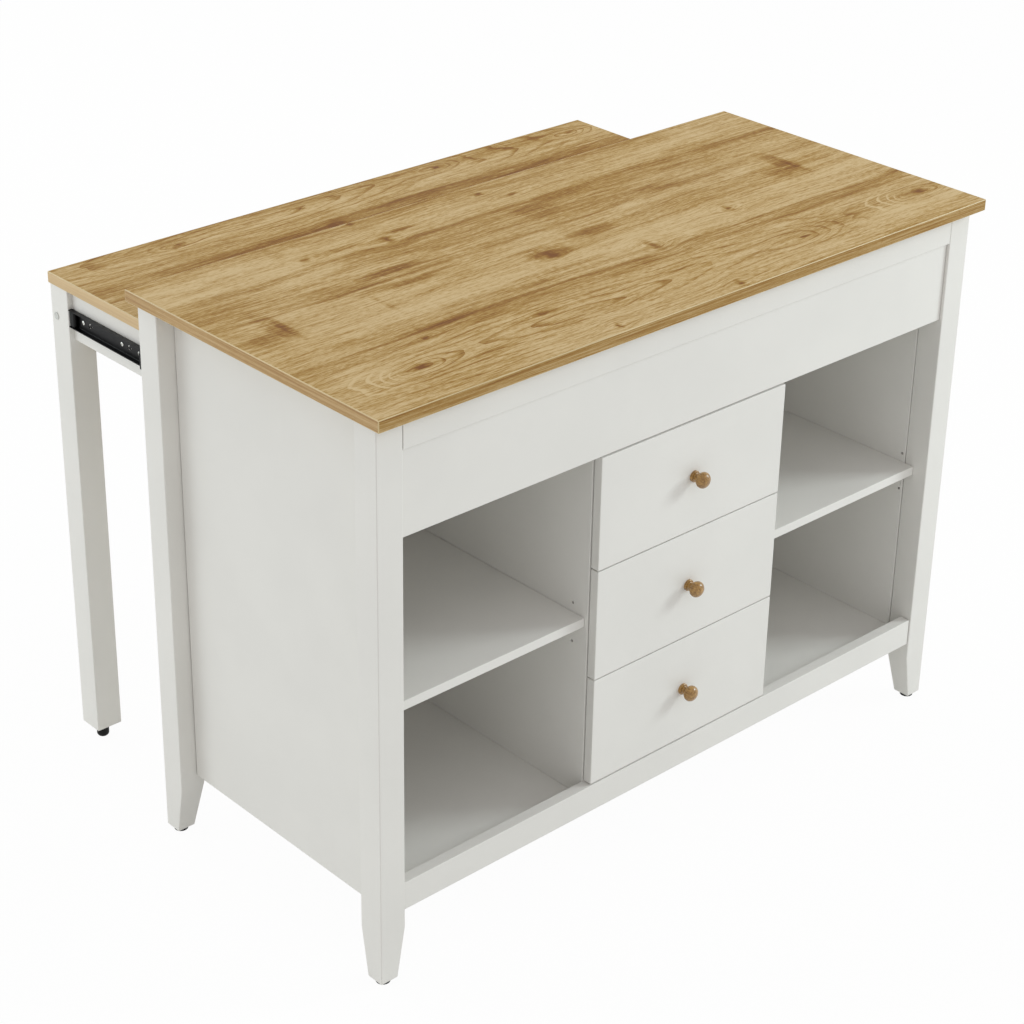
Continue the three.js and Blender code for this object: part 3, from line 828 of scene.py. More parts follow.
class Shape:
    """A closed mesh in the making, shaped by mesh operators."""

    def __init__(self) -> None:
        """Starts an empty shape."""
        self.mesh = bmesh.new()

    @classmethod
    def block(cls, low: Sequence[float], high: Sequence[float]) -> "Shape":
        """Makes a block between two corners.

        Args:
            low: The corner with the lowest x, y and z.
            high: The corner with the highest.

        Returns:
            The closed shape.
        """
        shape = cls()
        bmesh.ops.create_cube(shape.mesh, size=1.0)
        size = [b - a for a, b in zip(low, high)]
        middle = Vector([(a + b) / 2 for a, b in zip(low, high)])
        bmesh.ops.scale(shape.mesh, vec=size, verts=shape.mesh.verts)
        bmesh.ops.translate(shape.mesh, vec=middle, verts=shape.mesh.verts)
        return shape

    @classmethod
    def turned(cls, profile: Sequence[Flat], centre: Sequence[float], facing: Facing = Facing.UP,
               steps: int = 48) -> "Shape":
        """Spins a profile into a turned piece.

        Args:
            profile: Points of radius and height, from one end of the axis to the other.
            centre: Where the height is 0.
            facing: Where the axis points.
            steps: The number of flat faces round the piece.

        Returns:
            The closed shape.
        """
        shape = cls()
        verts = [shape.mesh.verts.new((radius, 0, height)) for radius, height in profile]
        edges = [shape.mesh.edges.new(pair) for pair in zip(verts, verts[1:])]
        bmesh.ops.spin(shape.mesh, geom=verts + edges, cent=(0, 0, 0), axis=(0, 0, 1),
                       dvec=(0, 0, 0), angle=math.tau, steps=steps, use_merge=True,
                       use_duplicate=False)
        bmesh.ops.remove_doubles(shape.mesh, verts=shape.mesh.verts, dist=SAME_POINT)
        shape.turn_outwards()
        move = Matrix.Translation(Vector(centre)) @ facing.value
        bmesh.ops.transform(shape.mesh, matrix=move, verts=shape.mesh.verts)
        return shape

    @classmethod
    def drawn(cls, outline: Sequence[Flat], start: float, end: float,
              bends: Optional[dict[float, Sequence[int]]] = None) -> "Shape":
        """Draws an outline in x and z out along y, as a rolling mill or an extruder does.

        Args:
            outline: The corners of the outline, as x and z.
            start: The lower y.
            end: The higher y.
            bends: For each radius, the numbers of the corners that are rounded with it.

        Returns:
            The closed shape.
        """
        shape = cls()
        corners = [shape.mesh.verts.new((x, start, z)) for x, z in outline]
        shape.mesh.faces.new(corners)
        for radius, numbers in (bends or {}).items():
            bmesh.ops.bevel(shape.mesh, geom=[corners[n] for n in numbers], offset=radius,
                            segments=4, profile=0.5, affect="VERTICES", material=-1)
        swept = bmesh.ops.extrude_face_region(shape.mesh, geom=shape.mesh.faces[:])
        moved = [item for item in swept["geom"] if isinstance(item, bmesh.types.BMVert)]
        bmesh.ops.translate(shape.mesh, vec=(0, end - start, 0), verts=moved)
        return shape.turn_outwards()

    @classmethod
    def balls(cls, centres: Iterable[Sequence[float]], radius: float) -> "Shape":
        """Makes a group of small balls.

        Args:
            centres: Their middles.
            radius: Their radius.

        Returns:
            The shape, with a closed body for each ball.
        """
        shape = cls()
        for centre in centres:
            bmesh.ops.create_icosphere(shape.mesh, subdivisions=2, radius=radius,
                                       matrix=Matrix.Translation(Vector(centre)))
        return shape

    def turn_outwards(self) -> "Shape":
        """Makes every face point outwards."""
        bmesh.ops.recalc_face_normals(self.mesh, faces=self.mesh.faces)
        return self

    def rounded(self, radius: float, segments: int = 3) -> "Shape":
        """Rounds every sharp edge.

        Args:
            radius: How far the rounding reaches over each face.
            segments: The number of flat strips in it.

        Returns:
            This shape.
        """
        edges = [e for e in self.mesh.edges if e.calc_face_angle(0.0) > SHARP_EDGE]
        ends = list({v for e in edges for v in e.verts})
        bmesh.ops.bevel(self.mesh, geom=edges + ends, offset=radius, segments=segments,
                        profile=0.5, affect="EDGES", material=-1, clamp_overlap=True)
        return self

    def tapered(self, split: float, shift: Flat, fixed: Flat) -> "Shape":
        """Draws the lower end in, from a height downwards.

        Args:
            split: The height where the taper starts.
            shift: How far the inner faces move in x and y at the lower end.
            fixed: The x and y of the faces that stay upright.

        Returns:
            This shape.
        """
        everything = self.mesh.verts[:] + self.mesh.edges[:] + self.mesh.faces[:]
        bmesh.ops.bisect_plane(self.mesh, geom=everything, plane_co=(0, 0, split),
                               plane_no=(0, 0, 1))
        for vert in (v for v in self.mesh.verts if v.co.z < split - SAME_POINT):
            for axis in (0, 1):
                if abs(vert.co[axis] - fixed[axis]) > SAME_POINT:
                    vert.co[axis] += shift[axis]
        return self

    def laminated(self) -> "Shape":
        """Gives the rounded edges of a laminated board the material number 1: a paler line, partly
        bare edge band and partly a painted highlight.

        Returns:
            This shape.
        """
        for face in self.mesh.faces:
            if max(abs(c) for c in face.normal) < FLAT_FACE:
                face.material_index = 1
        return self

    def cut_by(self, *tools: "Shape") -> "Shape":
        """Cuts other shapes out of this one.

        Args:
            *tools: The shapes to cut away, which are used up.

        Returns:
            This shape, with the cuts in it.
        """
        cutter = Shape().with_parts(*tools)
        stock, knife = put("stock", self.to_mesh("stock")), put("cutter", cutter.to_mesh("cutter"))
        modifier = stock.modifiers.new("cut", "BOOLEAN")
        modifier.operation = "DIFFERENCE"
        modifier.solver = "EXACT"
        modifier.object = knife
        evaluated = stock.evaluated_get(bpy.context.evaluated_depsgraph_get())
        cut = bpy.data.meshes.new_from_object(evaluated)
        self.mesh = bmesh.new()
        self.mesh.from_mesh(cut)
        old_meshes = [stock.data, knife.data, cut]
        for item in (stock, knife):
            bpy.data.objects.remove(item)
        for old in old_meshes:
            bpy.data.meshes.remove(old)
        bmesh.ops.remove_doubles(self.mesh, verts=self.mesh.verts, dist=SAME_CUT_POINT)
        return self

    def with_parts(self, *parts: "Shape") -> "Shape":
        """Takes other shapes into this one, each still a closed body of its own.

        Args:
            *parts: The shapes, which are used up.

        Returns:
            This shape.
        """
        for part in parts:
            loose = part.to_mesh("part")
            self.mesh.from_mesh(loose)
            bpy.data.meshes.remove(loose)
        return self

    def to_mesh(self, name: str) -> bpy.types.Mesh:
        """Ends the work in mesh form.

        Args:
            name: The mesh's name.

        Returns:
            The finished mesh.
        """
        made = bpy.data.meshes.new(name)
        self.mesh.to_mesh(made)
        self.mesh.free()
        return made


def arc(centre: Flat, radius: Flat, start: float, end: float, steps: int) -> list[Flat]:
    """Gives points on an arc of a circle or an ellipse.

    Args:
        centre: The middle of the arc.
        radius: Its radii along both axes.
        start: The first angle, in degrees.
        end: The last angle, in degrees.
        steps: The number of stretches between them.

    Returns:
        The points, from first to last.
    """
    angles = [math.radians(start + (end - start) * i / steps) for i in range(steps + 1)]
    return [(centre[0] + radius[0] * math.cos(a), centre[1] + radius[1] * math.sin(a))
            for a in angles]


@dataclass(frozen=True)
class Paints:
    """The finished materials, one for each surface of the island."""

    white: Material
    worktop: Material
    leaf: Material
    laminate_edge: Material
    turned: Material
    drawer: Material
    black_steel: Material
    zinc: Material
    ball_steel: Material
    runner: Material
    cap: Material
    nylon: Material
    black_plastic: Material


@dataclass
class Workshop:
    """Turns shapes into finished pieces: names and dresses them and gives them to their bodies."""

    paints: Paints
    crease: float = math.radians(50)
    count: int = 0

    def add(self, name: str, node: str, shape: Shape, *finishes: Material) -> bpy.types.Object:
        """Finishes one piece.

        Args:
            name: The piece's name.
            node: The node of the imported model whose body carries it.
            shape: Its shape, which is used up.
            *finishes: Its materials, in the order of its material numbers.

        Returns:
            The finished object, riding on the node's body.
        """
        for edge in shape.mesh.edges:
            edge.smooth = edge.calc_face_angle(0.0) < self.crease
        for face in shape.mesh.faces:
            face.smooth = True
        made = put(name, shape.to_mesh(name))
        for finish in finishes:
            made.data.materials.append(finish)
        made.modifiers.new("even_shading", "WEIGHTED_NORMAL").keep_sharp = True
        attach(made, frame["nodes"][node]["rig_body"])
        self.count += 1
        return made

    def replace(self, name: str, node: str, shape: Shape, slot: Slot, *finishes: Material) -> None:
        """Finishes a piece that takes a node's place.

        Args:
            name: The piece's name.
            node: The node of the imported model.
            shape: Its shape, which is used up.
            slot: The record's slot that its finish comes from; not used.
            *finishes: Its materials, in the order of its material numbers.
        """
        made = self.add(name, node, shape, *finishes)
        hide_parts(node)

    def replace_white(self, node: str, shape: Shape) -> None:
        """Finishes a painted board that takes a node's place."""
        self.replace(f"{node}_board", node, shape, Slot.WHITE_PAINT, self.paints.white)


# ------------------------------------------------------------------------------------ cabinet


@dataclass
class Cabinet:
    """The painted cabinet: worktop, posts on glides, rails, panels and shelves on pins.

    The glide's shares are of its radius, and of its height for the groove's two ends.
    """

    workshop: Workshop
    board_round: float = 0.0008
    worktop_round: float = 0.0012
    post_round: float = 0.0016
    post_foot: float = 0.030
    taper: float = 0.081
    rail_gap: float = 0.0007
    shelf_play: float = 0.0005
    glide_flare: float = 0.0018
    glide_edge_share: float = 0.12
    glide_stem_share: float = 0.86
    glide_groove: Flat = (0.62, 0.7)
    hole_pitch: float = 0.032
    hole_radius: float = 0.0025
    hole_depth: float = 0.009
    drill_overshoot: float = 0.001
    front_row: float = 0.051
    back_row: float = 0.037
    pin_fit: float = 0.96
    pin_length: float = 0.008
    pin_dome: float = 0.001

    def board(self, node: str, radius: float, trim: float = 0.0) -> Shape:
        """Makes a rounded board in a node's place.

        Args:
            node: The node.
            radius: The rounding of the board's edges.
            trim: How far its two ends are drawn in.

        Returns:
            The board.
        """
        low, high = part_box(node)
        inset = Vector((trim, 0, 0))
        return Shape.block(low + inset, high - inset).rounded(radius)

    def laminated_board(self, node: str, finish: Material) -> None:
        """Builds a laminated board, whose rounded edges are a paler line: partly bare edge band,
        partly a painted highlight along the arris.

        Args:
            node: The node that it takes the place of.
            finish: The finish of its faces.
        """
        shape = self.board(node, self.worktop_round).laminated()
        self.workshop.replace(f"{node}_board", node, shape, Slot.LAMINATE, finish,
                              self.workshop.paints.laminate_edge)

    def build(self) -> None:
        """Builds every piece of the cabinet."""
        self.laminated_board("worktop", self.workshop.paints.worktop)
        for side in Side:
            for row in ("front", "back"):
                self.build_post(row, side)
                self.build_glide(row, side)
            self.build_side_panel(side)
            self.build_pins(side)
        for node in ("floor_panel", "deck_panel", "back_panel", "shelf_left", "shelf_right"):
            self.workshop.replace_white(node, self.board(node, self.board_round))
        for node in ("rail_bottom_front", "rail_top_front", "rail_top_back", "apron_panel"):
            self.workshop.replace_white(node, self.board(node, self.board_round, self.rail_gap))

    def build_post(self, row: str, side: Side) -> None:
        """Builds one post, with its two inner faces drawn in towards the floor.

        Args:
            row: "front" or "back".
            side: The side of the island.
        """
        node = f"post_{row}_{side.word}"
        low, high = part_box(node)
        draw = (high.x - low.x) - self.post_foot
        if row == "front":
            outer_y, draw_y = low.y, -draw
        else:
            outer_y, draw_y = high.y, draw
        shape = Shape.block(low, high).tapered(low.z + self.taper, (side.value * draw, draw_y),
                                               (side.value * side.outer(node), outer_y))
        self.workshop.replace_white(node, shape.rounded(self.post_round))

    def build_glide(self, row: str, side: Side) -> None:
        """Builds one glide: a domed plastic pad under the foot of a post.

        Args:
            row: "front" or "back".
            side: The side of the island.
        """
        node = f"glide_{row}_{side.word}"
        low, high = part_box(node)
        radius, height = (high.x - low.x) / 2 + self.glide_flare, high.z - low.z
        edge, stem = radius * self.glide_edge_share, radius * self.glide_stem_share
        groove_low, groove_high = (height * share for share in self.glide_groove)
        profile = [(0, 0), *arc((radius - edge, edge), (edge, edge), -90, 0, 6),
                   (radius, groove_low), (stem, groove_high), (stem, height), (0, height)]
        centre = ((low.x + high.x) / 2, (low.y + high.y) / 2, 0)
        self.workshop.replace(f"{node}_pad", node, Shape.turned(profile, centre),
                              Slot.BLACK_PLASTIC, self.workshop.paints.black_plastic)

    def hole_rows(self) -> list[tuple[float, float, bool]]:
        """Places the shelf-pin holes.

        Returns:
            The y and z of each hole, and whether it holds a pin.
        """
        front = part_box("post_front_left")[0].y + self.front_row
        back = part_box("back_panel")[0].y - self.back_row
        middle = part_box("shelf_left")[0].z - self.hole_radius
        return [(y, middle + step * self.hole_pitch, step == 0)
                for y in (front, back) for step in (-1, 0, 1)]

    def drill(self, shape: Shape, face: float, facing: Facing) -> Shape:
        """Drills the rows of holes into a panel.

        Args:
            shape: The panel.
            face: The x of its bay side.
            facing: The way the drill goes.

        Returns:
            The drilled panel.
        """
        profile = [(0, -self.drill_overshoot), (self.hole_radius, -self.drill_overshoot),
                   (self.hole_radius, self.hole_depth), (0, self.hole_depth)]
        return shape.cut_by(*(Shape.turned(profile, (face, y, z), facing, 24)
                              for y, z, _ in self.hole_rows()))

    def build_side_panel(self, side: Side) -> None:
        """Builds one outer panel, drilled on its bay side.

        Args:
            side: The side of the island.
        """
        node = f"side_panel_{side.word}"
        inner = side.outer("floor_panel")
        low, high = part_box(node)
        near, far = side.span(inner, side.outer(node))
        front, back = low.y + self.rail_gap, high.y - self.rail_gap
        shape = Shape.block((near, front, low.z), (far, back, high.z)).rounded(self.board_round)
        self.workshop.replace_white(node, self.drill(shape, side.value * inner, side.outwards))

    def divider_face(self, side: Side) -> float:
        """Gives the distance of a divider's bay side from the middle plane."""
        return side.inner(f"shelf_{side.word}") - self.shelf_play

    def build_pins(self, side: Side) -> None:
        """Builds the four pins under one shelf: plated steel pegs with a rounded end.

        Args:
            side: The side of the island.
        """
        radius, dome = self.hole_radius * self.pin_fit, self.pin_dome
        profile = [(0, -self.hole_depth), (radius, -self.hole_depth), (radius, 0),
                   (radius, self.pin_length - dome),
                   *arc((radius - dome, self.pin_length - dome), (dome, dome), 0, 90, 4),
                   (0, self.pin_length)]
        panels = ((side.outer("floor_panel"), side.inwards),
                  (self.divider_face(side), side.outwards))
        pins = [Shape.turned(profile, (side.value * distance, y, z), facing, 24)
                for distance, facing in panels for y, z, holds_pin in self.hole_rows() if holds_pin]
        self.workshop.add(f"shelf_pins_{side.word}", f"shelf_{side.word}",
                          Shape().with_parts(*pins), self.workshop.paints.zinc)


# ------------------------------------------------------------------------------------ drawers


@dataclass(frozen=True)
class RollerRunner:
    """The roller slide of a drawer, measured from the divider and the drawer side's lower edge.

    bends are the radii at the outside and inside of a bend, in thicknesses of the metal. rivet is
    the radius of the rivet's head and of the ring round it, as shares of the roller's radius.
    """

    space: float = 0.0127
    metal: float = 0.0012
    lip: float = 0.0085
    bends: Flat = (1.7, 0.7)
    roller_radius: float = 0.0098
    roller_inset: float = 0.014
    roller_edge: float = 0.0008
    roller_gap: float = 0.00006
    roller_back_gap: float = 0.0001
    rivet: Flat = (0.35, 0.4)
    rivet_depth: float = 0.0004
    head_gap: float = 0.0018
    play: float = 0.0003
    shortfall: float = 0.020

    @property
    def height(self) -> float:
        """The height of the fixed member."""
        return 3 * self.metal + 2 * self.roller_radius + self.head_gap

    def profile(self, side: Side, wall: float, outline: Iterable[Flat], bends: Sequence[int],
                start: float, end: float) -> Shape:
        """Rolls a member of the slide.

        Args:
            side: The side of the island.
            wall: The distance of the divider's inner face from the middle.
            outline: Its corners, as distances from the divider and heights.
            bends: The numbers of the corners at the outside of a bend, then as many at the inside.
            start: The lower y.
            end: The higher y.

        Returns:
            The member.
        """
        half = len(bends) // 2
        rounds = {self.metal * self.bends[0]: bends[:half],
                  self.metal * self.bends[1]: bends[half:]}
        return Shape.drawn([(side.value * (wall - u), z) for u, z in outline], start, end, rounds)

    def roller(self, side: Side, wall: float, span: Flat, y: float, z: float) -> Shape:
        """Makes a roller with its rivet.

        Args:
            side: The side of the island.
            wall: The distance of the divider's inner face from the middle.
            span: The near and far ends of the roller, from the divider.
            y: The place of its axis.
            z: The height of its axis.

        Returns:
            The roller and its rivet.
        """
        near, far = span
        width, depth = far - near, self.rivet_depth
        radius, edge = self.roller_radius, self.roller_edge
        rivet, ring = (radius * share for share in self.rivet)
        profile = [(0, 0), (rivet, 0), (ring, depth), (radius - edge, depth),
                   *arc((radius - edge, depth + edge), (edge, edge), -90, 0, 3),
                   *arc((radius - edge, width - edge), (edge, edge), 0, 90, 3), (0, width)]
        return Shape.turned(profile, (side.value * (wall - near), y, z), side.inwards, 32)


@dataclass
class DrawerBank:
    """Three drawers on roller slides between the two dividers, each with a turned knob.

    Each part of the knob has a radius and a length. knob_lip is the rounding of the flange, as a
    share of its length, and knob_cove the reach of the cove, as shares of the neck's length.
    """

    workshop: Workshop
    cabinet: Cabinet
    runner: RollerRunner = RollerRunner()
    names: tuple[str, ...] = ("bottom", "middle", "top")
    front_round: float = 0.0011
    box_round: float = 0.0009
    box_rise: float = 0.014
    panel: float = 0.015
    groove_slip: float = 0.0003
    knob_flange: Flat = (0.0089, 0.004)
    knob_neck: Flat = (0.005, 0.0045)
    knob_head: Flat = (0.0125, 0.0095)
    knob_lip: float = 0.4
    knob_cove: Flat = (0.55, 0.5)
    knob_fillet: float = 0.0006

    def build(self) -> None:
        """Builds the dividers and the drawers."""
        for side in Side:
            self.build_divider(side)
        for name in self.names:
            self.build_drawer(name)

    def box_bottom(self, name: str) -> float:
        """Gives the height of the lower edge of a drawer's box."""
        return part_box(f"drawer_{name}_front")[0].z + self.box_rise

    def grooved(self, name: str, shape: Shape) -> Shape:
        """Cuts the groove for a drawer's bottom into a board of its box.

        Args:
            name: The drawer's name.
            shape: The board.

        Returns:
            The grooved board.
        """
        low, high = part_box(f"drawer_{name}_bottom")
        slip = Vector([self.groove_slip] * 3)
        return shape.cut_by(Shape.block(low - slip, high + slip))

    def build_divider(self, side: Side) -> None:
        """Builds one divider, drilled on its bay side, and the fixed members of its slides.

        Args:
            side: The side of the island.
        """
        node = f"divider_{side.word}"
        outer = self.cabinet.divider_face(side)
        inner = outer - self.panel
        low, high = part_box(node)
        near, far = side.span(inner, outer)
        front, back = (corner.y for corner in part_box("deck_panel"))
        shape = Shape.block((near, front, low.z), (far, back, high.z))
        shape = self.cabinet.drill(shape.rounded(self.cabinet.board_round), side.value * outer,
                                   side.inwards)
        self.workshop.replace_white(node, shape)
        for name in self.names:
            self.build_fixed_runner(name, side, inner)

    def add_runner(self, node: str, place: str, member: tuple[str, Shape],
                   roller: tuple[str, Shape]) -> None:
        """Adds a member of a roller slide and its nylon roller to the board that carries them.

        Args:
            node: The node of the board.
            place: The drawer's name and the side.
            member: The member's kind and its shape.
            roller: The roller's end and its shape.
        """
        paints = self.workshop.paints
        self.workshop.add(f"runner_{member[0]}_{place}", node, member[1], paints.runner)
        self.workshop.add(f"runner_roller_{roller[0]}_{place}", node, roller[1], paints.nylon)

    def build_fixed_runner(self, name: str, side: Side, wall: float) -> None:
        """Builds a white channel on the divider with a nylon roller at its mouth.

        Args:
            name: The drawer's name.
            side: The side of the island.
            wall: The distance of the divider's inner face from the middle.
        """
        runner = self.runner
        base = self.box_bottom(name)
        metal, lip, top = runner.metal, runner.lip, base + runner.height
        outline = [(0, base), (lip, base), (lip, base + metal), (metal, base + metal),
                   (metal, top - metal), (lip, top - metal), (lip, top), (0, top)]
        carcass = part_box("deck_panel")[0].y
        front = carcass + runner.play
        behind_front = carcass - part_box("drawer_top_front")[1].y
        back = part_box(f"drawer_{name}_side_right")[1].y - runner.shortfall + behind_front
        channel = runner.profile(side, wall, outline, (0, 7, 3, 4), front, back)
        axis = base + metal + runner.roller_radius - runner.play
        span = (metal + runner.roller_gap, lip)
        roller = runner.roller(side, wall, span, front + runner.roller_inset, axis)
        self.add_runner(f"divider_{side.word}", f"{name}_{side.word}", ("fixed", channel),
                        ("front", roller))

    def build_moving_runner(self, name: str, side: Side, wall: float) -> None:
        """Builds the white angle on the drawer side with a nylon roller at its rear end.

        Args:
            name: The drawer's name.
            side: The side of the island.
            wall: The distance of the divider's inner face from the middle.
        """
        runner = self.runner
        base, metal = self.box_bottom(name), runner.metal
        plate, bottom = runner.space - metal, base + 2 * metal
        tip, flange = metal + runner.lip / 2, base + metal + 2 * runner.roller_radius
        outline = [(runner.space, bottom), (plate, bottom), (plate, flange), (tip, flange),
                   (tip, flange + metal), (runner.space, flange + metal)]
        node = f"drawer_{name}_side_{side.word}"
        low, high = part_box(node)
        front, back = low.y + runner.play, high.y - runner.shortfall + runner.play
        angle = runner.profile(side, wall, outline, (5, 2), front, back)
        axis = base + metal + runner.play + runner.roller_radius
        span = (metal + runner.play, plate - runner.roller_back_gap)
        roller = runner.roller(side, wall, span, back - runner.roller_inset, axis)
        self.add_runner(node, f"{name}_{side.word}", ("moving", angle), ("back", roller))

    def build_drawer(self, name: str) -> None:
        """Builds one drawer: its front, its grooved box, its moving slide members and its knob.

        Args:
            name: The drawer's name.
        """
        front, back, bottom = (f"drawer_{name}_{part}" for part in ("front", "back", "bottom"))
        drawer = self.workshop.paints.drawer
        low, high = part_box(back)
        shape = Shape.block(*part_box(front)).rounded(self.front_round)
        self.workshop.replace_white(front, self.grooved(name, shape))
        shape = self.grooved(name, Shape.block(low, high).rounded(self.box_round))
        self.workshop.replace(f"{back}_board", back, shape, Slot.DRAWER_BOARD, drawer)
        shape = Shape.block(*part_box(bottom)).rounded(self.groove_slip)
        self.workshop.replace(f"{bottom}_sheet", bottom, shape, Slot.DRAWER_BOARD, drawer)

        thickness = high.y - low.y
        wall = high.x + thickness + self.runner.space
        for side in Side:
            node = f"drawer_{name}_side_{side.word}"
            start, end = (corner.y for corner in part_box(node))
            near, far = side.span(high.x, high.x + thickness)
            shape = Shape.block((near, start, low.z), (far, end, high.z)).rounded(self.box_round)
            shape = self.grooved(name, shape)
            self.workshop.replace(f"{node}_board", node, shape, Slot.DRAWER_BOARD, drawer)
            self.build_moving_runner(name, side, wall)
        self.build_knob(name)

    def build_knob(self, name: str) -> None:
        """Builds one knob: a rounded flange, a coved neck and a slightly flattened ball.

        Args:
            name: The drawer's name.
        """
        node = f"drawer_{name}_knob"
        low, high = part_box(node)
        (flange, base), (neck, shank) = self.knob_flange, self.knob_neck
        head, half = self.knob_head
        lip = base * self.knob_lip
        middle = base + shank + half
        start = math.degrees(math.asin((neck + self.knob_fillet) / head)) - 90
        reach, drop = (shank * share for share in self.knob_cove)
        cove = arc((neck + reach, base + drop), (reach, drop), 260, 140, 8)
        profile = [(0, 0), (flange, 0), *arc((flange - lip, base - lip), (lip, lip), 0, 80, 5),
                   *[point for point in cove if point[0] < flange - lip],
                   *arc((0, middle), (head, half), start, 90, 22)]
        profile[-1] = (0, profile[-1][1])
        centre = ((low.x + high.x) / 2, high.y, (low.z + high.z) / 2)
        knob = Shape.turned(profile, centre, Facing.FRONT, 56)
        self.workshop.replace(f"{node}_turning", node, knob, Slot.TURNED_WOOD,
                              self.workshop.paints.turned)


# ------------------------------------------------------------------------------------ leaf


@dataclass
class PullOutLeaf:
    """The lower table leaf on its frame of rails, two legs and black feet.

    The foot's groove is given by its core, as a share of the radius, and by its four heights, as
    shares of the height. The cap has an upright wall, as a share of its height, a rounded shoulder
    that starts at an angle, and a dish with its outer and inner rims, as shares of the radius.
    """

    workshop: Workshop
    cabinet: Cabinet
    foot_dome: float = 0.006
    foot_core: float = 0.9
    foot_groove: tuple[float, ...] = (0.7, 0.74, 0.92, 0.95)
    cap_wall: float = 0.35
    cap_shoulder: float = 20
    cap_rims: Flat = (0.6, 0.5)
    cap_dish: float = 0.0003

    def build(self) -> None:
        """Builds every piece of the leaf."""
        self.cabinet.laminated_board("leaf_top", self.workshop.paints.leaf)
        for node in ("leaf_rail_back", "leaf_rail_inner", "leaf_rail_left", "leaf_rail_right"):
            self.workshop.replace_white(node, self.cabinet.board(node, self.cabinet.board_round))
        for side in Side:
            node = f"leaf_leg_{side.word}"
            self.workshop.replace_white(node, self.cabinet.board(node, self.cabinet.post_round))
            self.build_foot(side)
            self.build_bolt_cap(side)

    def build_foot(self, side: Side) -> None:
        """Builds the domed black foot under one leg, with a groove round it below the leg.

        Args:
            side: The side of the island.
        """
        node = f"leaf_foot_{side.word}"
        low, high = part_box(node)
        radius, height, dome = (high.x - low.x) / 2, high.z, self.foot_dome
        core = radius * self.foot_core
        heights = [height * share for share in self.foot_groove]
        profile = [(0, 0), *arc((radius - dome, dome), (dome, dome), -90, 0, 10),
                   *zip((radius, core, core, radius), heights), (radius, height), (0, height)]
        centre = ((low.x + high.x) / 2, (low.y + high.y) / 2, 0)
        self.workshop.replace(f"{node}_dome", node, Shape.turned(profile, centre),
                              Slot.BLACK_PLASTIC, self.workshop.paints.black_plastic)

    def build_bolt_cap(self, side: Side) -> None:
        """Builds the shallow white cap over the bolt in one leg, in a grey tone that is painted
        shade of its dish.

        Args:
            side: The side of the island.
        """
        node = f"leaf_bolt_cap_{side.word}"
        low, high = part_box(node)
        radius, height = (high.z - low.z) / 2, high.x - low.x
        wall, curve = height * self.cap_wall, height * (1 - self.cap_wall)
        outer, inner = (radius * share for share in self.cap_rims)
        profile = [(0, 0), (radius, 0), (radius, wall),
                   *arc((radius - curve, wall), (curve, curve), self.cap_shoulder, 90, 5),
                   (outer, height), (inner, height - self.cap_dish), (0, height - self.cap_dish)]
        centre = (side.value * side.inner(node), (low.y + high.y) / 2, (low.z + high.z) / 2)
        shape = Shape.turned(profile, centre, side.outwards, 32)
        self.workshop.replace(f"{node}_disc", node, shape, Slot.WHITE_PAINT,
                              self.workshop.paints.cap)


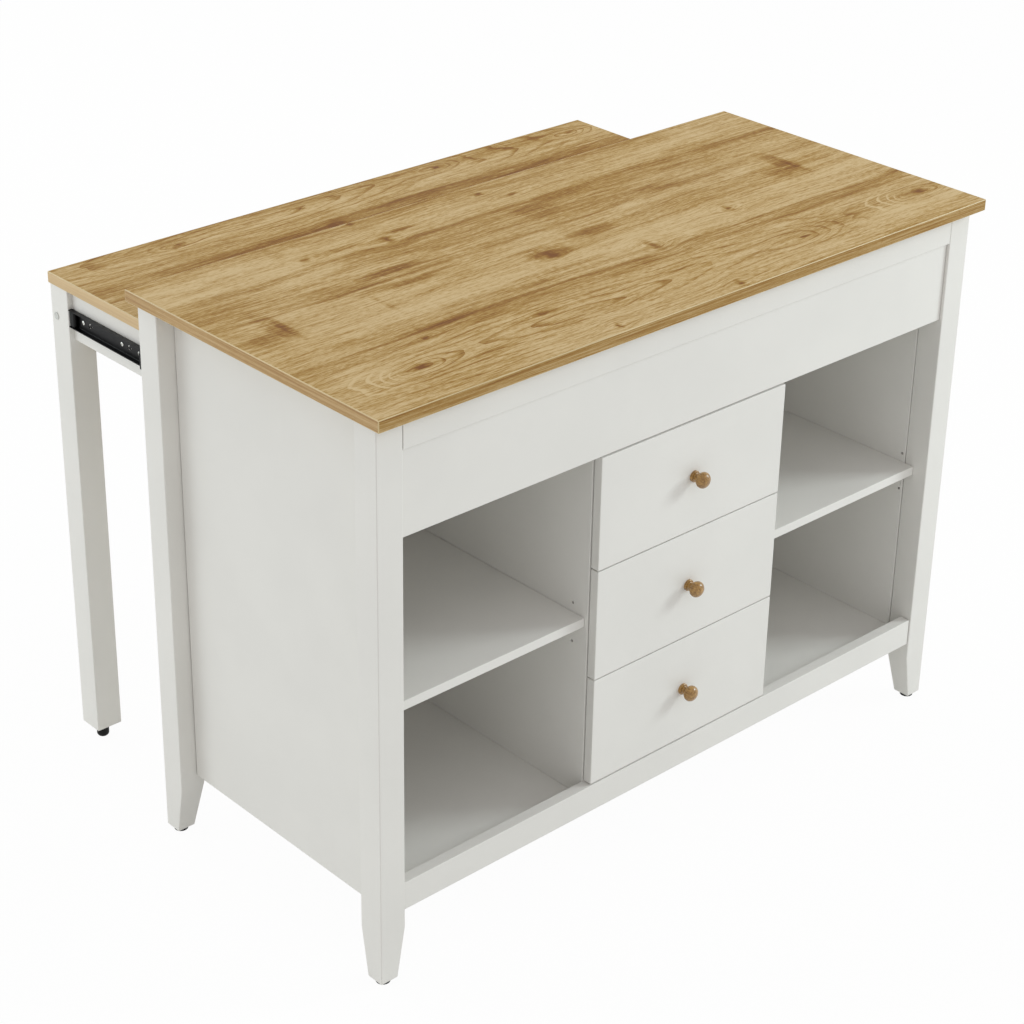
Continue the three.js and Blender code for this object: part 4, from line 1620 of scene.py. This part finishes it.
@dataclass
class BallSlide:
    """A telescopic ball slide of the leaf: three rolled channels, ball cages, a stop and screws.

    Depths run from the side panel to the leaf's rail, and heights from the slide's axis. The wall
    and the recess of a screw are shares of the height of its head, and recess_cross is half the
    length and half the width of a slot in it, as shares of the head's radius.
    """

    workshop: Workshop
    side: Side
    depth: float = 0.0127
    metal: float = 0.0012
    height: float = 0.045
    inner_height: float = 0.028
    web_gap: float = 0.0008
    outer_shortfall: float = 0.003
    mouth: float = 0.0026
    bend: float = 0.0024
    ball_radius: float = 0.00145
    ball_pitch: float = 0.011
    ball_start: float = 0.7
    balls_per_end: int = 7
    cage_width: float = 0.0036
    cage_metal: float = 0.0007
    cage_round: float = 0.0002
    cage_shortfall: float = 0.020
    hole_inset: float = 0.0290
    hole_step: float = 0.0445
    slot_offset: float = 0.0178
    slot_ring: Flat = (0.0044, 0.0022)
    slot_arc: Flat = (70, 290)
    slot_tool: Flat = (-0.001, 0.003)
    eyelet_offset: float = 0.0224
    eyelet_radius: float = 0.0016
    eyelet_tool: float = 0.004
    screw_head: Flat = (0.0036, 0.0016)
    screw_wall: float = 0.3
    screw_shoulder: float = 15
    recess_cross: Flat = (0.55, 0.13)
    recess_floor: float = 0.45
    recess_tool: float = 1.5
    stop_length: float = 0.014
    stop_depth: float = 0.0045
    stop_gap: float = 0.0004
    stop_web_gap: float = 0.0002
    stop_round: float = 0.0032

    @property
    def wall(self) -> float:
        """The distance of the side panel's bay side from the middle plane."""
        return self.side.outer("floor_panel")

    @property
    def axis(self) -> float:
        """The height of the slide's axis."""
        low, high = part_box(f"slide_outer_{self.side.word}")
        return (low.z + high.z) / 2

    def build(self) -> None:
        """Builds the slide's members, its cages and balls, its stop and its screws."""
        self.add_channel("outer", self.channel("outer", 0.0, self.depth - self.outer_shortfall,
                                               self.height / 2))
        self.build_middle()
        self.build_inner()

    def channel(self, member: str, web: float, mouth: float, half: float) -> Shape:
        """Rolls a channel with rounded bends along a member's length.

        Args:
            member: The member's name.
            web: The depth of the web's outer face.
            mouth: The depth of the flanges' edges.
            half: Half the channel's height.

        Returns:
            The channel.
        """
        metal = self.metal if mouth > web else -self.metal
        lower = [(web, -half), (mouth, -half), (mouth, -half + self.metal),
                 (web + metal, -half + self.metal)]
        outline = lower + [(u, -v) for u, v in reversed(lower)]
        placed = [(self.side.value * (self.wall - u), self.axis + v) for u, v in outline]
        low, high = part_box(f"slide_{member}_{self.side.word}")
        bends = {self.bend: (0, 7), self.bend - self.metal: (3, 4)}
        return Shape.drawn(placed, low.y, high.y, bends)

    def add_channel(self, member: str, shape: Shape) -> None:
        """Adds a member's channel in its node's place.

        Args:
            member: The member's name.
            shape: The channel.
        """
        word = self.side.word
        self.workshop.replace(f"slide_{member}_channel_{word}", f"slide_{member}_{word}", shape,
                              Slot.BLACK_METAL, self.workshop.paints.black_steel)

    def add(self, piece: str, member: str, shape: Shape, finish: Material) -> None:
        """Adds a small piece that rides on a member.

        Args:
            piece: The piece's name.
            member: The member that carries it.
            shape: Its shape, which is used up.
            finish: Its finish.
        """
        word = self.side.word
        self.workshop.add(f"slide_{piece}_{word}", f"slide_{member}_{word}", shape, finish)

    def build_middle(self) -> None:
        """Builds the middle member, with a cage of balls above and below each flange."""
        race_outer, race_inner = self.height / 2 - self.metal, self.inner_height / 2
        flange = (race_outer + race_inner + self.metal) / 2
        self.add_channel("middle", self.channel("middle", self.metal + self.web_gap,
                                                self.depth - self.mouth, flange))
        low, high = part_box(f"slide_middle_{self.side.word}")
        start, end = low.y + self.cage_shortfall, high.y - self.cage_shortfall
        x = self.side.value * (self.wall - 2 * self.metal - self.web_gap - self.cage_width)
        heights = ((race_outer + flange) / 2, (race_inner + flange - self.metal) / 2)
        half = Vector((self.cage_width / 2, 0, self.cage_metal / 2))
        cages, centres = [], []
        for z in [self.axis + sign * v for v in heights for sign in (-1, 1)]:
            cage = Shape.block(Vector((x, start, z)) - half, Vector((x, end, z)) + half)
            cages.append(cage.rounded(self.cage_round, 2))
            for i in range(self.balls_per_end):
                inset = (i + self.ball_start) * self.ball_pitch
                centres += [(x, start + inset, z), (x, end - inset, z)]
        paints = self.workshop.paints
        self.add("cages", "middle", Shape().with_parts(*cages), paints.zinc)
        self.add("balls", "middle", Shape.balls(centres, self.ball_radius), paints.ball_steel)

    def build_inner(self) -> None:
        """Builds the member on the leaf's rail, with its slots, screws and the rubber stop."""
        tip = 2 * (self.metal + self.web_gap)
        shape = self.channel("inner", self.depth, tip, self.inner_height / 2)
        low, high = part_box(f"slide_inner_{self.side.word}")
        middle = (low.y + high.y) / 2
        holes = (low.y + self.hole_inset, middle, middle + self.hole_step, high.y - self.hole_inset)
        deep = self.side.span(*(self.wall - self.depth + reach for reach in self.slot_tool))
        radius, tool = self.eyelet_radius, self.eyelet_tool
        eyelet = [(0, -tool), (radius, -tool), (radius, tool), (0, tool)]
        cuts = []
        for y in holes:
            centre = (deep[0], y - self.eyelet_offset, self.axis)
            cuts += [self.curved_slot(y - self.slot_offset, deep),
                     Shape.turned(eyelet, centre, Facing.RIGHT, 20)]
        self.add_channel("inner", shape.cut_by(*cuts))
        screws = Shape().with_parts(*(self.screw(y) for y in holes))
        self.add("screws", "inner", screws, self.workshop.paints.zinc)
        self.build_stop(high.y)

    def curved_slot(self, y: float, deep: Flat) -> Shape:
        """Makes the tool for a slot that curves round a tongue, open towards the front.

        Args:
            y: The place of the curve's centre.
            deep: The low and high x of the tool.

        Returns:
            The curved tool.
        """
        (outer, inner), (first, last) = self.slot_ring, self.slot_arc
        rim = arc((0, 0), (outer, outer), first, last, 16)
        core = arc((0, 0), (inner, inner), last, first, 16)
        tool = Shape.drawn(rim + core, deep[0], deep[1])
        turn = Matrix.Rotation(-math.pi / 2, 4, "Z")
        move = Matrix.Translation(Vector((0, y, self.axis))) @ turn
        bmesh.ops.transform(tool.mesh, matrix=move, verts=tool.mesh.verts)
        return tool

    def screw(self, y: float) -> Shape:
        """Makes a pan-head screw in the inner member's web, with a crossed recess.

        Args:
            y: The place of its axis.

        Returns:
            The screw's head.
        """
        radius, height = self.screw_head
        wall = height * self.screw_wall
        profile = [(0, 0), (radius, 0), (radius, wall),
                   *arc((0, wall), (radius, height - wall), self.screw_shoulder, 90, 8)]
        profile[-1] = (0, profile[-1][1])
        face = self.wall - self.depth + self.metal
        centre = Vector((self.side.value * face, y, self.axis))
        head = Shape.turned(profile, centre, self.side.outwards, 28)
        floor = face + height * self.recess_floor
        near, far = self.side.span(floor, floor + height * self.recess_tool)
        long, short = (radius * share for share in self.recess_cross)
        for along, up in ((long, short), (short, long)):
            head.cut_by(Shape.block((near, centre.y - along, centre.z - up),
                                    (far, centre.y + along, centre.z + up)))
        return head

    def build_stop(self, end: float) -> None:
        """Builds the rounded rubber stop at the rear end of the inner member.

        Args:
            end: The y of the member's rear end.
        """
        inner = self.inner_height / 2 - self.metal - self.stop_gap
        near, far = self.side.span(self.wall - self.depth + self.metal + self.stop_web_gap,
                                   self.wall - self.stop_depth)
        shape = Shape.block((near, end - self.stop_length, self.axis - inner),
                            (far, end - self.stop_gap, self.axis + inner))
        self.add("stop", "inner", shape.rounded(self.stop_round, 5),
                 self.workshop.paints.black_plastic)


# ------------------------------------------------------------------------------------ studio


@dataclass(frozen=True)
class Lamp:
    """A soft square lamp."""

    name: str
    place: Point
    size: float
    power: float


@dataclass(frozen=True)
class Studio:
    """The floor, the soft lights and the camera.

    The camera's heading is counted from +Y towards +X, and its dip below the horizon, in degrees.
    """

    camera_place: Point = (-2.2962, -2.4914, 2.1920)
    heading: float = 42.790
    dip: float = 26.718
    roll: float = 1.017
    lens: float = 84.53
    shift: Flat = (0.0, -0.05)
    sky: Colour = (0.737, 0.730, 0.737, 1.0)
    white: Colour = (1.0, 1.0, 1.0, 1.0)
    lamps: tuple[Lamp, ...] = (Lamp("key", (4.0, -2.6, 2.4), 1.4, 95.0),
                               Lamp("side", (-3.6, 3.3, 1.4), 2.5, 46.0),
                               Lamp("back", (-0.5, 4.5, 3.2), 3.0, 57.0))
    lamp_target: Point = (0.0, 0.0, 0.5)
    lamp_tint: Point = (0.90, 1.0, 1.015)
    floor_size: float = 60.0
    floor_colour: Colour = tone("e6e6e2")
    floor_clarity: float = 0.965

    def build(self) -> None:
        """Builds the whole studio."""
        self.build_floor()
        self.build_world()
        for lamp in self.lamps:
            self.build_lamp(lamp)
        self.build_camera()

    def floor_finish(self) -> Material:
        """Makes the floor's finish: a matte white that is nearly even to the camera or a mirror.

        Returns:
            The finished material.
        """
        graph = Graph.of_material("studio_floor")
        path = graph.node("LightPath").outputs
        seen = graph.math("MAXIMUM", path["Is Camera Ray"], path["Is Glossy Ray"])
        seen = graph.math("MAXIMUM", seen, path["Is Transmission Ray"])
        share = graph.math("MULTIPLY", seen, self.floor_clarity)
        lit = graph.node("BsdfDiffuse", {"Color": self.floor_colour}).outputs[0]
        even = graph.node("Emission", {"Color": self.white, "Strength": 1.0}).outputs[0]
        return graph.finish(graph.node("MixShader", {0: share, 1: lit, 2: even}).outputs[0])

    def build_floor(self) -> None:
        """Builds the pale floor, which looks white and keeps a little of the island's shadow."""
        grid = bmesh.new()
        bmesh.ops.create_grid(grid, x_segments=1, y_segments=1, size=self.floor_size / 2)
        data = bpy.data.meshes.new("floor")
        grid.to_mesh(data)
        grid.free()
        data.materials.append(self.floor_finish())
        put("floor", data)

    def build_world(self) -> None:
        """Builds the even sky, which looks white to the eye."""
        graph = Graph(bpy.data.worlds.new("studio"), "OutputWorld")
        path = graph.node("LightPath").outputs
        seen = graph.math("MAXIMUM", path["Is Camera Ray"], path["Is Transmission Ray"])
        colour = graph.mix(seen, self.sky, self.white)
        background = graph.node("Background", {"Color": colour})
        bpy.context.scene.world = graph.finish(background.outputs[0])

    def build_lamp(self, lamp: Lamp) -> None:
        """Builds one lamp, which looks at the middle of the island.

        Args:
            lamp: The lamp's place, size and power.
        """
        data = bpy.data.lights.new(lamp.name, "AREA")
        data.shape = "SQUARE"
        data.size = lamp.size
        data.energy = lamp.power
        data.color = self.lamp_tint
        made = put(lamp.name, data)
        made.location = lamp.place
        aim = Vector(self.lamp_target) - Vector(lamp.place)
        made.rotation_euler = aim.to_track_quat("-Z", "Y").to_euler()

    def build_camera(self) -> None:
        """Builds the camera at the view of the photograph."""
        data = bpy.data.cameras.new("camera")
        data.lens = self.lens
        data.shift_x, data.shift_y = self.shift
        camera = put("camera", data)
        heading, dip, roll = (math.radians(a) for a in (self.heading, self.dip, self.roll))
        level = math.cos(dip)
        ahead = Vector((math.sin(heading) * level, math.cos(heading) * level, -math.sin(dip)))
        across = Vector((math.cos(heading), -math.sin(heading), 0))
        upward = across.cross(ahead)
        right = across * math.cos(roll) + upward * math.sin(roll)
        up = upward * math.cos(roll) - across * math.sin(roll)
        turn = Matrix((right, up, -ahead)).transposed().to_4x4()
        camera.matrix_world = Matrix.Translation(Vector(self.camera_place)) @ turn
        bpy.context.scene.camera = camera


def mix_paints() -> Paints:
    """Makes every material of the island.

    Returns:
        The materials, by surface.
    """
    worktop_top, leaf_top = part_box("worktop")[1].z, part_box("leaf_top")[1].z
    return Paints(
        white=SatinPaint("white_paint", tone("e7e5e0")).material(),
        worktop=GrainedLaminate("worktop_laminate", worktop_top, WORKTOP_PRINT).material(),
        leaf=GrainedLaminate("leaf_laminate", leaf_top, LEAF_PRINT,
                             end_tint=tone("d8bd95"), end_share=0.8).material(),
        # The laminate's rounded edges are paler than its print: partly bare edge band, partly a
        # painted highlight along the arris.
        laminate_edge=SatinPaint("laminate_edge", tone("d4be8e"), 0.35, 0.12).material(),
        turned=TurnedWood("turned_wood").material(),
        drawer=SatinPaint("drawer_board", tone("e6e7e4"), 0.55).material(),
        black_steel=Metal("black_steel", tone("0f0f10"), 0.8, 0.36).material(),
        zinc=Metal("zinc_plate", tone("c9c9c4"), 1.0, 0.28).material(),
        ball_steel=Metal("ball_steel", tone("d6d6d4"), 1.0, 0.12).material(),
        runner=SatinPaint("runner_enamel", tone("ececea"), 0.32).material(),
        nylon=MouldedPlastic("nylon", tone("e9e7df"), 0.4).material(),
        # The bolt cap is white, but its tone is darkened to grey as painted shade of its shallow
        # dish.
        cap=MouldedPlastic("cap_plastic", tone("c4c5c0"), 0.45).material(),
        black_plastic=MouldedPlastic("black_plastic", tone("0b0b0b"), 0.55, 0.2).material(),
    )


def main() -> None:
    """Builds the island's looks and the studio round it."""
    logging.basicConfig(level=logging.INFO, format="%(message)s")
    bpy.context.scene.view_settings.view_transform = "Standard"
    Studio().build()
    workshop = Workshop(mix_paints())
    cabinet = Cabinet(workshop)
    cabinet.build()
    DrawerBank(workshop, cabinet).build()
    PullOutLeaf(workshop, cabinet).build()
    for side in Side:
        BallSlide(workshop, side).build()
    LOG.info("%d pieces", workshop.count)


if __name__ == "__main__":
    main()
